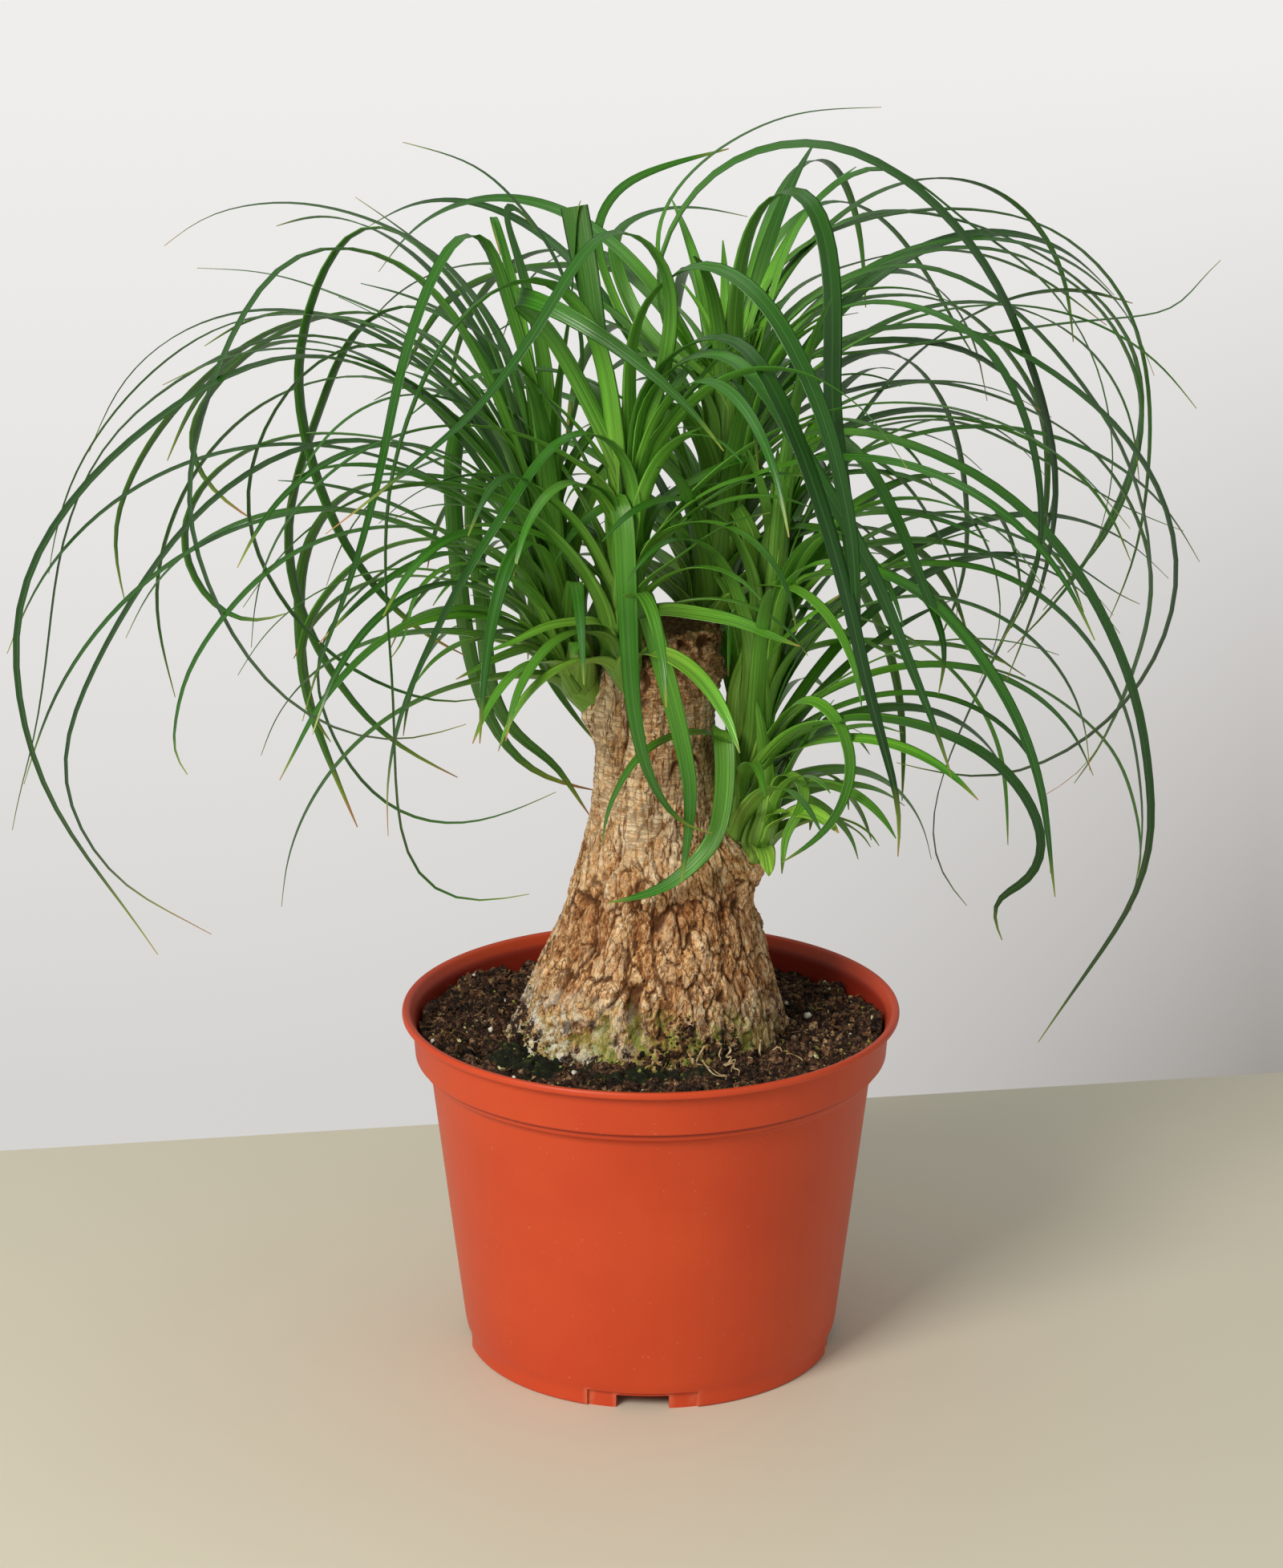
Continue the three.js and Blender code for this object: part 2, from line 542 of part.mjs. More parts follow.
        seen: [40, 200, 54, 209, 70, 213.5, 82, 211] },
      { from: 0.3, wide: 5.4, away: -30, twist: 30,
        seen: [38, 208, 45, 219, 52, 222.5, 61, 214, 65, 199, 61, 184, 53, 174, 43, 167] },
      { from: 0.7, wide: 4.6, away: -10, twist: 10,
        seen: [44, 262, 62, 264, 84, 267, 106, 266, 126, 256, 142, 240, 154, 218, 159, 196, 161, 175,
          158, 150] },
      { from: 0.65, wide: 5.2, away: 25, twist: 10,
        seen: [44, 250, 66, 243, 84, 234, 104, 234, 124, 227, 142, 214, 152, 202, 158, 186, 161, 170,
          160, 160] },
      { from: 0.8, wide: 5, away: 60, twist: 15,
        seen: [46, 290, 66, 297, 86, 294, 103, 281, 111, 262, 112, 244, 106, 228] },
      { from: 0.75, wide: 4.4, away: 40, twist: 15,
        seen: [46, 280, 68, 285, 92, 283, 112, 278, 134, 268, 150, 257, 157, 254] },
      { from: 0.85, wide: 5, away: 80, twist: 20,
        seen: [46, 296, 62, 304, 78, 296, 90, 280, 98, 262, 98, 246] },
      { from: 0.7, wide: 4.6, away: 85, twist: 0,
        seen: [44, 276, 64, 276, 84, 264, 100, 246, 112, 236, 121, 230] },
      { from: 0.9, wide: 4.8, away: -70, twist: 20,
        seen: [44, 305, 56, 310, 68, 300, 79, 280, 88, 258, 95, 240, 93, 224] },
      { from: 0.2, wide: 6.4, away: -45, twist: 10,
        seen: [26, 202, 21, 210, 11, 210.5, 0, 206, -8, 197, -14, 184, -16, 173] },
      { from: 0.12, wide: 7, away: -30, twist: 60,
        seen: [24, 205, 23, 214, 24, 205, 24, 190, 21, 175, 13, 165, 4, 158, -6, 154.5, -14, 153] },
      { from: 0.6, wide: 3.6, away: 50, twist: 0,
        seen: [42, 235, 58, 241, 80, 241, 100, 240, 115, 234] },
      { from: 0.5, wide: 6, away: -20, twist: 30,
        seen: [38, 235, 48, 247, 58, 255, 62, 258] },
      { from: 0.8, wide: 3.4, away: 70, twist: 0,
        seen: [44, 270, 60, 268, 72, 250, 79, 230, 82, 208, 82, 188] },
      { from: 0.55, wide: 5.2, away: 15, twist: 30,
        seen: [32, 240, 28, 253, 26, 247, 25, 230] },
    ],
  },
  {
    name: 'head_small',
    stem: [[34, -9, 171, 3.5], [37, -10, 180, 4], [39, -11, 189, 3]],
    fill: { count: 4, from: -80, to: 60, long: 50, short: 34 },
    leaves: [
      { from: 0.8, wide: 4.6, away: -14, twist: 10,
        seen: [42, 196, 47, 196, 50, 191, 48, 184, 44, 176, 43, 163] },
      { from: 0.6, wide: 4.2, away: -6, twist: 10,
        seen: [42, 189, 50, 188.5, 58, 184, 65, 176, 68, 168] },
      { from: 0.3, wide: 4.6, away: -8, twist: 0,
        seen: [39, 182, 42, 184, 45, 184] },
      { from: 0.7, wide: 4.4, away: 12, twist: 10,
        seen: [42, 193, 47, 192, 52, 186, 52, 178] },
    ],
  },
];

// Seeded draws, the same on every run
function drawsFrom(seed) {
  let state = seed;
  return () => {
    state = (state + 0x6D2B79F5) >>> 0;
    let mixed = Math.imul(state ^ (state >>> 15), state | 1);
    mixed = (mixed + Math.imul(mixed ^ (mixed >>> 7), mixed | 61)) ^ mixed;
    return ((mixed ^ (mixed >>> 14)) >>> 0) / 4294967296;
  };
}

// Where a leaf starts in its stem, at a share of the stem's length, on the side that it heads for
function rootIn(stem, share, heading) {
  const place = clamp(share, 0, 1) * (stem.length - 1);
  const k = Math.min(Math.floor(place), stem.length - 2);
  const [x, y, z, radius] = stem[k].map((value, i) => lerp(value, stem[k + 1][i], place - k));
  const out = radius * rootDepth;
  return new THREE.Vector3(x + out * Math.cos(heading), y + out * Math.sin(heading), z);
}

// A smooth row of points through the given ones, evenly spaced along its length
function evenly(points, steps) {
  const fine = [];
  const at = (i) => points[clamp(i, 0, points.length - 1)];
  for (let i = 0; i < points.length - 1; i++) {
    for (let j = 0; j < 6; j++) {
      const t = j / 6;
      const p = new THREE.Vector3();
      for (const axis of ['x', 'y', 'z']) {
        const [a, b, c, d] = [at(i - 1)[axis], at(i)[axis], at(i + 1)[axis], at(i + 2)[axis]];
        p[axis] = b + t / 2 * (c - a + t * (2 * a - 5 * b + 4 * c - d + t * (3 * (b - c) + d - a)));
      }
      fine.push(p);
    }
  }
  fine.push(points[points.length - 1]);
  const along = [0];
  for (let i = 1; i < fine.length; i++) along.push(along[i - 1] + fine[i].distanceTo(fine[i - 1]));
  const length = along[along.length - 1];
  const even = [];
  let k = 1;
  for (let i = 0; i <= steps; i++) {
    const want = length * i / steps;
    while (k < fine.length - 1 && along[k] < want) k++;
    const t = (want - along[k - 1]) / (along[k] - along[k - 1]);
    even.push(fine[k - 1].clone().lerp(fine[k], clamp(t, 0, 1)));
  }
  return even;
}

// The few points of an even row that its bends need: the one furthest off the chord, again and again
function bends(even, first, last) {
  const chord = new THREE.Line3(even[first], even[last]);
  let widest = 0;
  let split = first;
  for (let i = first + 1; i < last; i++) {
    const off = chord.closestPointToPoint(even[i], true, new THREE.Vector3()).distanceTo(even[i]);
    if (off > widest) {
      widest = off;
      split = i;
    }
  }
  if (widest < bendTolerance) return [first, last];
  return [...bends(even, first, split), ...bends(even, split, last).slice(1)];
}

// The course of a leaf that was read from the front: its depth grows along it, on the lines of sight
function seenCourse(shoot, leaf, away) {
  const count = leaf.seen.length / 2;
  const across = leaf.seen[0] < shoot.stem[0][0] ? Math.PI : 0;
  const heading = Math.atan2(Math.sign(away) * 0.6, Math.cos(across));
  const root = rootIn(shoot.stem, leaf.from, heading);
  const points = [root];
  for (let i = 0; i < count; i++) {
    const share = Math.sin((i + 1) / count * Math.PI / 2);
    const depth = root.y + away * share;
    const inPlane = new THREE.Vector3(leaf.seen[2 * i], 0, leaf.seen[2 * i + 1]);
    const reach = (depth - viewpoint.y) / -viewpoint.y;
    points.push(viewpoint.clone().lerp(inPlane, reach));
  }
  return points;
}

// The course of a leaf that is placed by rule: it leaves at a slope and bends down evenly
function bentCourse(root, turn, slope, length, bend) {
  const points = [root.clone()];
  for (let i = 0; i < bendPieces; i++) {
    const share = (i + 0.5) / bendPieces;
    const climb = radians(Math.max(slope - bend * share ** bendPower, steepestFall));
    const step = length / bendPieces;
    const last = points[points.length - 1];
    points.push(new THREE.Vector3(
      last.x + step * Math.cos(climb) * Math.cos(turn),
      last.y + step * Math.cos(climb) * Math.sin(turn),
      last.z + step * Math.sin(climb)));
  }
  return points;
}

function widthAt(share, wide) {
  const taper = 1 - clamp((share - taperStart) / (1 - taperStart), 0, 1) ** taperPower;
  return tipWidth + (wide - tipWidth) * taper;
}

// The left edge, right edge and keel of a blade at even steps along its course
function bladeRings(points, wide, twist) {
  const even = evenly(points, fineSteps);
  const kept = bends(even, 0, fineSteps);
  const root = even[0];
  let far = even[1];
  for (const p of even) {
    if (Math.hypot(p.x - root.x, p.y - root.y) > Math.hypot(far.x - root.x, far.y - root.y)) far = p;
  }
  const heading = Math.atan2(far.y - root.y, far.x - root.x);
  let side = new THREE.Vector3(-Math.sin(heading), Math.cos(heading), 0);
  const frames = even.map((point, i) => {
    const ahead = even[Math.min(i + 1, fineSteps)].clone().sub(even[Math.max(i - 1, 0)]).normalize();
    side = side.clone().addScaledVector(ahead, -side.dot(ahead)).normalize();
    return { ahead, side };
  });
  return kept.map((i) => {
    const point = even[i];
    const share = i / fineSteps;
    const { ahead, side: flat } = frames[i];
    const face = ahead.clone().cross(flat);
    const turn = radians(twist) * share;
    const across = flat.clone().multiplyScalar(Math.cos(turn)).addScaledVector(face, Math.sin(turn));
    const under = ahead.clone().cross(across).negate();
    const half = widthAt(share, wide) / 2;
    const keel = keelDepth - keelTaper * share;
    return [
      point.clone().addScaledVector(across, half),
      point.clone().addScaledVector(across, -half),
      point.clone().addScaledVector(under, keel),
      point,
    ];
  });
}

// The shortest distance between two pieces of line, from a to b and from c to d
function lineGap(a, b, c, d) {
  const u = b.clone().sub(a);
  const v = d.clone().sub(c);
  const w = a.clone().sub(c);
  const [uu, uv, vv, uw, vw] = [u.dot(u), u.dot(v), v.dot(v), u.dot(w), v.dot(w)];
  const det = uu * vv - uv * uv;
  let s = det < 1e-9 ? 0 : clamp((uv * vw - vv * uw) / det, 0, 1);
  const t = clamp((uv * s + vw) / Math.max(vv, 1e-9), 0, 1);
  s = clamp((uv * t - uw) / Math.max(uu, 1e-9), 0, 1);
  return w.addScaledVector(u, s).addScaledVector(v, -t).length();
}

// The three lines of a blade, past the part that is sunk in its stem
function bladeLines(rings) {
  const lines = [];
  for (let i = 1; i < rings.length; i++) {
    for (const side of [0, 1, 3]) lines.push([rings[i - 1][side], rings[i][side]]);
  }
  return lines;
}

function boxOf(lines, margin) {
  const box = new THREE.Box3().setFromPoints(lines.flat());
  return box.expandByScalar(margin);
}

function isClearOf(lines, other, room) {
  for (const [a, b] of lines) {
    const low = [Math.min(a.x, b.x) - room, Math.min(a.y, b.y) - room, Math.min(a.z, b.z) - room];
    const high = [Math.max(a.x, b.x) + room, Math.max(a.y, b.y) + room, Math.max(a.z, b.z) + room];
    for (const [c, d] of other) {
      if (Math.max(c.x, d.x) < low[0] || Math.min(c.x, d.x) > high[0]) continue;
      if (Math.max(c.y, d.y) < low[1] || Math.min(c.y, d.y) > high[1]) continue;
      if (Math.max(c.z, d.z) < low[2] || Math.min(c.z, d.z) > high[2]) continue;
      if (lineGap(a, b, c, d) < room) return false;
    }
  }
  return true;
}

// Whether a blade keeps off the woody trunk and the pot's rim
function missesTrunkAndPot(rings) {
  for (let i = 2; i < rings.length; i++) {
    for (const share of [0, 0.5]) {
      const p = rings[i - 1][3].clone().lerp(rings[i][3], share + 0.5);
      const { x, radius } = trunkMiddleAt(Math.min(p.z, trunkTop));
      if (p.z < trunkTop + 3 && Math.hypot(p.x - x, p.y) < radius + woodRoom) return false;
      if (p.z < potHeight + potRoom && Math.hypot(p.x, p.y) < rimRadius + woodRoom) return false;
    }
  }
  return true;
}

// Steps away from the first choice, tried in turn until a leaf is clear: 0, 1, -1, 2, -2 and so on
const detours = Array.from({ length: 25 }, (_, i) => (i % 2 ? 1 : -1) * Math.ceil(i / 2));
const depthDetour = 6;
const turnDetour = radians(3.5);

function stemLines(stem) {
  const lines = [];
  for (let i = 1; i < stem.length; i++) {
    const ends = [stem[i - 1], stem[i]].map(([x, y, z]) => new THREE.Vector3(x, y, z));
    lines.push({ ends, room: Math.max(stem[i - 1][3], stem[i][3]) + clearance });
  }
  return lines;
}

// Places every leaf, those read from the front first, each bent clear of the other shoots
function placeLeaves() {
  const placed = [];
  const tryOne = (owner, leaf, courseAt, tries) => {
    for (const detour of tries) {
      const rings = bladeRings(courseAt(detour), leaf.wide, leaf.twist);
      if (!missesTrunkAndPot(rings)) continue;
      const lines = bladeLines(rings);
      const box = boxOf(lines, clearance);
      const others = placed.filter((o) => o.owner !== owner && o.box.intersectsBox(box));
      const blocked = others.some((o) => !isClearOf(lines, o.lines, clearance))
        || shoots.some((shoot) => shoot !== owner
          && stemLines(shoot.stem).some(({ ends, room }) => !isClearOf(lines, [ends], room)));
      if (blocked) continue;
      placed.push({ owner, rings, lines, box });
      return true;
    }
    return false;
  };
  for (const shoot of shoots) {
    for (const leaf of shoot.leaves) {
      tryOne(shoot, leaf, (k) => seenCourse(shoot, leaf, leaf.away + k * depthDetour), detours);
    }
  }
  shoots.forEach((shoot, number) => {
    const draw = drawsFrom(fillSeed + number);
    const { count, from, to, long, short } = shoot.fill;
    for (let i = 0; i < count; i++) {
      const up = (i + 0.5) / count;
      const around = from + (to - from) * ((i * fillShare) % 1);
      const turn = radians(around + fillTurnSpread * (draw() - 0.5));
      const length = lerp(short, long, draw() ** 0.8) * (0.7 + 0.3 * up);
      const slope = fillSlope.least + fillSlope.rise * up + fillSlope.spread * (draw() - 0.5);
      const longer = (length - short) / (long - short);
      const bend = lerp(fillBend.short, fillBend.long, longer) + fillBend.spread * (draw() - 0.5);
      const wide = lerp(fillWidth.narrow, fillWidth.wide, draw());
      const twist = fillTwist * (draw() - 0.5);
      const root = rootIn(shoot.stem, fillRoots.lowest + fillRoots.span * up, turn);
      const leaf = { wide, twist };
      tryOne(shoot, leaf, (k) => bentCourse(root, turn + k * turnDetour, slope, length, bend), detours);
    }
  });
  return placed;
}

function makeStem(stem) {
  const sides = 8;
  const rings = stem.map(([x, y, z, radius]) => Array.from({ length: sides }, (_, i) => {
    const angle = i / sides * 2 * Math.PI;
    return new THREE.Vector3(x + radius * Math.cos(angle), y + radius * Math.sin(angle), z);
  }));
  return loft(rings);
}

// A blade is a chain of short convex pieces, so that it stays whole at its sharpest bend
function makeBlade(rings) {
  const pieces = [];
  for (let i = 1; i < rings.length; i++) {
    const corners = [...rings[i - 1].slice(0, 3), ...rings[i].slice(0, 3)];
    pieces.push(wasm.Manifold.hull(corners.map((p) => p.toArray())));
  }
  return wasm.Manifold.union(pieces);
}

function makeShoot(shoot, placed, trunkHole) {
  const blades = placed.filter((leaf) => leaf.owner === shoot).map((leaf) => makeBlade(leaf.rings));
  const joined = wasm.Manifold.union([makeStem(shoot.stem), ...blades]);
  return largestBody(joined.subtract(trunkHole));
}

// Materials
function finish(color, roughness) {
  return new THREE.MeshStandardMaterial({ color, roughness, metalness: 0 });
}

const terracottaPlastic = finish('#c4492b', 0.5);
const pottingMix = finish('#33241a', 1);
const bark = finish('#a27a52', 0.9);
const leafGreen = '#2f6b30';

// The plant
const plant = new THREE.Group();
const trunkHole = makeTrunk(seat);
const placedLeaves = placeLeaves();
plant.add(named('pot', makePot(), terracottaPlastic));
plant.add(named('soil', makeSoil(trunkHole), pottingMix));
plant.add(named('trunk', makeTrunk(0), bark));
for (const shoot of shoots) {
  plant.add(named(shoot.name, makeShoot(shoot, placedLeaves, trunkHole), finish(leafGreen, 0.45)));
}

export default plant;
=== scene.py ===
# Potted ponytail palm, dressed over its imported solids. Metres here; the tables are in millimetres.
# Front of the plant faces -Y, and the middle of the pot's foot is the origin.
import math

import bmesh
import bpy
import numpy as np
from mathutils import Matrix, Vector


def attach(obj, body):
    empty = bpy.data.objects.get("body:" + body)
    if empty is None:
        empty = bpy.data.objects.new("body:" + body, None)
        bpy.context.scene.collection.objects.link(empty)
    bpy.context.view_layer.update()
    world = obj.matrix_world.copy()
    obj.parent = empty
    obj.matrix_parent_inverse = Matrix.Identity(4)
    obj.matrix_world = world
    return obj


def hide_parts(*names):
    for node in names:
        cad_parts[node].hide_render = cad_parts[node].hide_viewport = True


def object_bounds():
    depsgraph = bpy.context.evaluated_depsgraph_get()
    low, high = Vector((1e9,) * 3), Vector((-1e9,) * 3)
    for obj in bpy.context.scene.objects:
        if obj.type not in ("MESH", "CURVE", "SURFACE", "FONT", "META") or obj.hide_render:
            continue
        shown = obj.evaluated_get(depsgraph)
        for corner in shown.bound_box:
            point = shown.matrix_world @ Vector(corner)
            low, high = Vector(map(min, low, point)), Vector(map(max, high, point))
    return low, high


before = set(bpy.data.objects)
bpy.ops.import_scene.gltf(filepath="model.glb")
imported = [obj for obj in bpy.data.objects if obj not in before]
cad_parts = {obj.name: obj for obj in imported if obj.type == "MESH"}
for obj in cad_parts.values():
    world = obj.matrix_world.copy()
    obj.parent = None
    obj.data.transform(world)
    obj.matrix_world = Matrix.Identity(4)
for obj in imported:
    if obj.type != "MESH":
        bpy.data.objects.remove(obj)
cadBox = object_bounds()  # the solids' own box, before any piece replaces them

mm = 0.001


# Shared helpers

def linear(hexColour):
    # sRGB hex text to the linear colour that shaders want
    values = [int(hexColour[i:i + 2], 16) / 255 for i in (1, 3, 5)]
    return [v / 12.92 if v <= 0.04045 else ((v + 0.055) / 1.055) ** 2.4 for v in values] + [1]


def addNode(tree, kind, inputs=None, **settings):
    # kind is Blender's name, less ShaderNode; settings are the node's own choices; an input is a value,
    # a socket, or a node that gives its first output in use
    node = tree.nodes.new(kind if "Node" in kind else "ShaderNode" + kind)
    for name, value in settings.items():
        setattr(node, name, value)
    for name, value in (inputs or {}).items():
        if isinstance(value, bpy.types.Node):
            value = next(socket for socket in value.outputs if socket.enabled)
        if isinstance(value, bpy.types.NodeSocket):
            tree.links.new(value, node.inputs[name])
        else:
            node.inputs[name].default_value = value
    return node


def setStops(ramp, stops):
    # stops are (place, hex colour) pairs of a colour ramp
    elements = ramp.color_ramp.elements
    while len(elements) < len(stops):
        elements.new(0.5)
    for element, (place, hexColour) in zip(elements, stops):
        element.position = place
        element.color = linear(hexColour)


def newMaterial(name):
    material = bpy.data.materials.new(name)
    material.use_nodes = True
    material.node_tree.nodes.clear()
    return material, material.node_tree


def finishMaterial(tree, shader):
    addNode(tree, "OutputMaterial", {"Surface": shader.outputs[0]})


def placeObject(name, data):
    obj = bpy.data.objects.new(name, data)
    bpy.context.scene.collection.objects.link(obj)
    return obj


def markPoints(mesh, marks, kind="FLOAT"):
    # marks are {attribute name: one number, or one direction, for each point}
    for name, values in marks.items():
        layer = mesh.attributes.new(name, kind, "POINT")
        key = "value" if kind == "FLOAT" else "vector"
        layer.data.foreach_set(key, np.asarray(values, np.float32).ravel())


def meshObject(name, points, faces, marks=None, smooth=True):
    # points in millimetres
    mesh = bpy.data.meshes.new(name)
    mesh.from_pydata((np.asarray(points) * mm).tolist(), [], faces)
    markPoints(mesh, marks or {})
    mesh.polygons.foreach_set("use_smooth", [smooth] * len(mesh.polygons))
    mesh.update()
    return placeObject(name, mesh)


def ringFaces(levels, sides, firstPole=None, lastPole=None):
    # quads between closed rings of points, with a fan of triangles to a pole at either end
    low = np.arange(sides)
    high = (low + 1) % sides
    faces = []
    for k in range(levels - 1):
        a = k * sides
        quad = np.column_stack([a + low, a + high, a + sides + high, a + sides + low])
        faces.extend(quad.tolist())
    if firstPole is not None:
        faces.extend(np.column_stack([high, low, np.full(sides, firstPole)]).tolist())
    if lastPole is not None:
        top = (levels - 1) * sides
        faces.extend(np.column_stack([top + low, top + high, np.full(sides, lastPole)]).tolist())
    return faces


def faceOutwards(mesh):
    bm = bmesh.new()
    bm.from_mesh(mesh)
    if bm.calc_volume(signed=True) < 0:
        mesh.flip_normals()
    bm.free()


def bakedCopy(obj, name):
    # the evaluated object as a plain mesh at the origin; the source object goes
    bpy.context.view_layer.update()
    graph = bpy.context.evaluated_depsgraph_get()
    mesh = bpy.data.meshes.new_from_object(obj.evaluated_get(graph))
    mesh.name = name
    bpy.data.objects.remove(obj)
    return placeObject(name, mesh)


def dress(obj, material, replaced=()):
    # one material all over, rides on the part's only body, and stands for its CAD nodes
    obj.data.materials.clear()
    obj.data.materials.append(material)
    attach(obj, "root")
    if replaced:
        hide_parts(*replaced)


def smoothstep(low, high, value):
    t = np.clip((np.asarray(value, float) - low) / (high - low), 0, 1)
    return t * t * (3 - 2 * t)


# Seeded noise on arrays, the same on every run

def latticeDraw(ix, iy, iz, seed):
    with np.errstate(over="ignore"):
        n = (ix.astype(np.int64).astype(np.uint64) * np.uint64(0x9E3779B1)
             + iy.astype(np.int64).astype(np.uint64) * np.uint64(0x85EBCA77)
             + iz.astype(np.int64).astype(np.uint64) * np.uint64(0xC2B2AE3D)
             + np.uint64(seed) * np.uint64(0x27D4EB2F))
        n ^= n >> np.uint64(15)
        n *= np.uint64(0x2C1B3C6D)
        n ^= n >> np.uint64(12)
        n *= np.uint64(0x297A2D39)
        n ^= n >> np.uint64(15)
    return (n & np.uint64(0xFFFFFF)).astype(float) / 0xFFFFFF


def valueNoise(x, y, z, seed):
    # smooth noise from -1 to 1 with lumps one unit across
    cells = [np.floor(v) for v in (x, y, z)]
    parts = [v - c for v, c in zip((x, y, z), cells)]
    parts = [p * p * p * (p * (p * 6 - 15) + 10) for p in parts]
    total = 0
    for dx in (0, 1):
        for dy in (0, 1):
            for dz in (0, 1):
                weight = ((parts[0] if dx else 1 - parts[0]) * (parts[1] if dy else 1 - parts[1])
                          * (parts[2] if dz else 1 - parts[2]))
                total = total + weight * latticeDraw(cells[0] + dx, cells[1] + dy, cells[2] + dz, seed)
    return total * 2 - 1


def layeredNoise(x, y, z, seed, layers=4, keep=0.5):
    total, reach, size = 0, 0, 1
    for k in range(layers):
        step = 2.03 ** k
        total = total + size * valueNoise(x * step, y * step, z * step, seed + k)
        reach += size
        size *= keep
    return total / reach * 1.5


def drawsFrom(seed):
    # seeded draws from 0 to 1, the same on every run
    mask = 0xFFFFFFFF
    state = seed

    def draw():
        nonlocal state
        state = (state + 0x6D2B79F5) & mask
        mixed = ((state ^ state >> 15) * (state | 1)) & mask
        mixed = ((mixed + (mixed ^ mixed >> 7) * (mixed | 61)) & mask) ^ mixed
        return ((mixed ^ mixed >> 14) & mask) / 4294967296
    return draw


# Camera, light and studio

camera = {
    "lens": 82.87,          # with the sensor on the long side of the frame
    "sensor": 36,
    "target": (-3.06, 0, 193.74),
    "elevation": 16.52,
    "distance": 1176.5,
}

studio = {
    "tableHex": "#D8D3BE", "tableMottleHex": "#D3CEBA",
    "tableBack": (158.6, 242),   # where the table ends behind the pot, at its left and right in view
    "tableBackAt": (-249, 257),
    "tableReach": 3000, "tableThickness": 25,
    "wallBright": "#EFEEEC",
    "wallDim": "#9B9692",
    "bounceHex": "#F4F3F0",
    "bounce": 0.42,
    # the wall dims as a line of sight falls (its Z part) and swings to the right (its X part)
    "dimZ": (-0.08, -0.36), "dimX": (-0.17, 0.17), "dimLeast": 0.36,
    "lightAim": (0, 0, 150),
}

lights = {
    "key": {"place": (-815, -1083, 1000), "size": 620, "watts": 21, "hex": "#FFF9F1"},
    "fill": {"place": (1300, -900, 700), "size": 1100, "watts": 1.5, "hex": "#F4F7FF"},
    "top": {"place": (100, 300, 1700), "size": 900, "watts": 3, "hex": "#FFFFFF"},
}


def placeCamera():
    data = bpy.data.cameras.new("camera")
    data.lens = camera["lens"]
    data.sensor_width = camera["sensor"]
    data.clip_end = 50
    obj = placeObject("camera", data)
    climb = math.radians(camera["elevation"])
    back = Vector((0, -math.cos(climb), math.sin(climb)))
    obj.location = (Vector(camera["target"]) + back * camera["distance"]) * mm
    obj.rotation_euler = (-back).to_track_quat("-Z", "Y").to_euler()
    bpy.context.scene.camera = obj


def placeLights():
    for name, light in lights.items():
        data = bpy.data.lights.new(name, "AREA")
        data.size = light["size"] * mm
        data.energy = light["watts"]
        data.color = linear(light["hex"])[:3]
        obj = placeObject(name, data)
        obj.location = Vector(light["place"]) * mm
        aim = Vector(studio["lightAim"]) * mm - obj.location
        obj.rotation_euler = aim.to_track_quat("-Z", "Y").to_euler()


def paperWallLight():
    # a pale wall far behind, dimmer towards its lower right; what it sheds on the plant is even and softer
    world = bpy.data.worlds.new("paleWall")
    world.use_nodes = True
    tree = world.node_tree
    tree.nodes.clear()
    place = addNode(tree, "TexCoord")
    split = addNode(tree, "SeparateXYZ", {0: place.outputs["Generated"]})
    down = addNode(tree, "MapRange", {"Value": split.outputs["Z"], "From Min": studio["dimZ"][0],
                                      "From Max": studio["dimZ"][1]})
    sink = addNode(tree, "Math", {0: down, 1: 1.3}, operation="POWER")
    right = addNode(tree, "MapRange", {"Value": split.outputs["X"], "From Min": studio["dimX"][0],
                                       "From Max": studio["dimX"][1]})
    swing = addNode(tree, "Math", {0: right, 1: 3}, operation="POWER")
    reach = addNode(tree, "MapRange", {"Value": swing, "To Min": studio["dimLeast"]})
    shade = addNode(tree, "Math", {0: sink, 1: reach}, operation="MULTIPLY")
    tint = addNode(tree, "Mix", {0: shade, 6: linear(studio["wallBright"]), 7: linear(studio["wallDim"])},
                   data_type="RGBA")
    wall = addNode(tree, "Background", {"Color": tint})
    around = addNode(tree, "Background", {"Color": linear(studio["bounceHex"]), "Strength": studio["bounce"]})
    ray = addNode(tree, "LightPath")
    both = addNode(tree, "MixShader", {0: ray.outputs["Is Camera Ray"], 1: around, 2: wall})
    addNode(tree, "OutputWorld", {"Surface": both})
    bpy.context.scene.world = world


def paintedTable():
    # a matt painted table top: even warm beige with the faintest mottle
    material, tree = newMaterial("tableMattPainted")
    place = addNode(tree, "TexCoord").outputs["Object"]
    mottle = addNode(tree, "TexNoise", {"Vector": place, "Scale": 9, "Detail": 3})
    tint = addNode(tree, "Mix", {0: mottle, 6: linear(studio["tableMottleHex"]),
                                 7: linear(studio["tableHex"])}, data_type="RGBA")
    shader = addNode(tree, "BsdfPrincipled", {"Base Color": tint, "Roughness": 0.55, "IOR": 1.45})
    finishMaterial(tree, shader)
    return material


def placeTable():
    # a slab whose back edge runs a little askew behind the pot
    (leftX, rightX), (leftY, rightY) = studio["tableBackAt"], studio["tableBack"]
    slope = (rightY - leftY) / (rightX - leftX)
    far = studio["tableReach"]
    backLeft = (-far, leftY + slope * (-far - leftX))
    backRight = (far, leftY + slope * (far - leftX))
    corners = [(-far, -far), (far, -far), backRight, backLeft]
    low = -studio["tableThickness"]
    points = [(x, y, 0) for x, y in corners] + [(x, y, low) for x, y in corners]
    faces = [[0, 1, 2, 3], [7, 6, 5, 4]] + [[i, i + 4, (i + 1) % 4 + 4, (i + 1) % 4] for i in range(4)]
    table = meshObject("table", points, faces, smooth=False)
    table.data.materials.append(paintedTable())


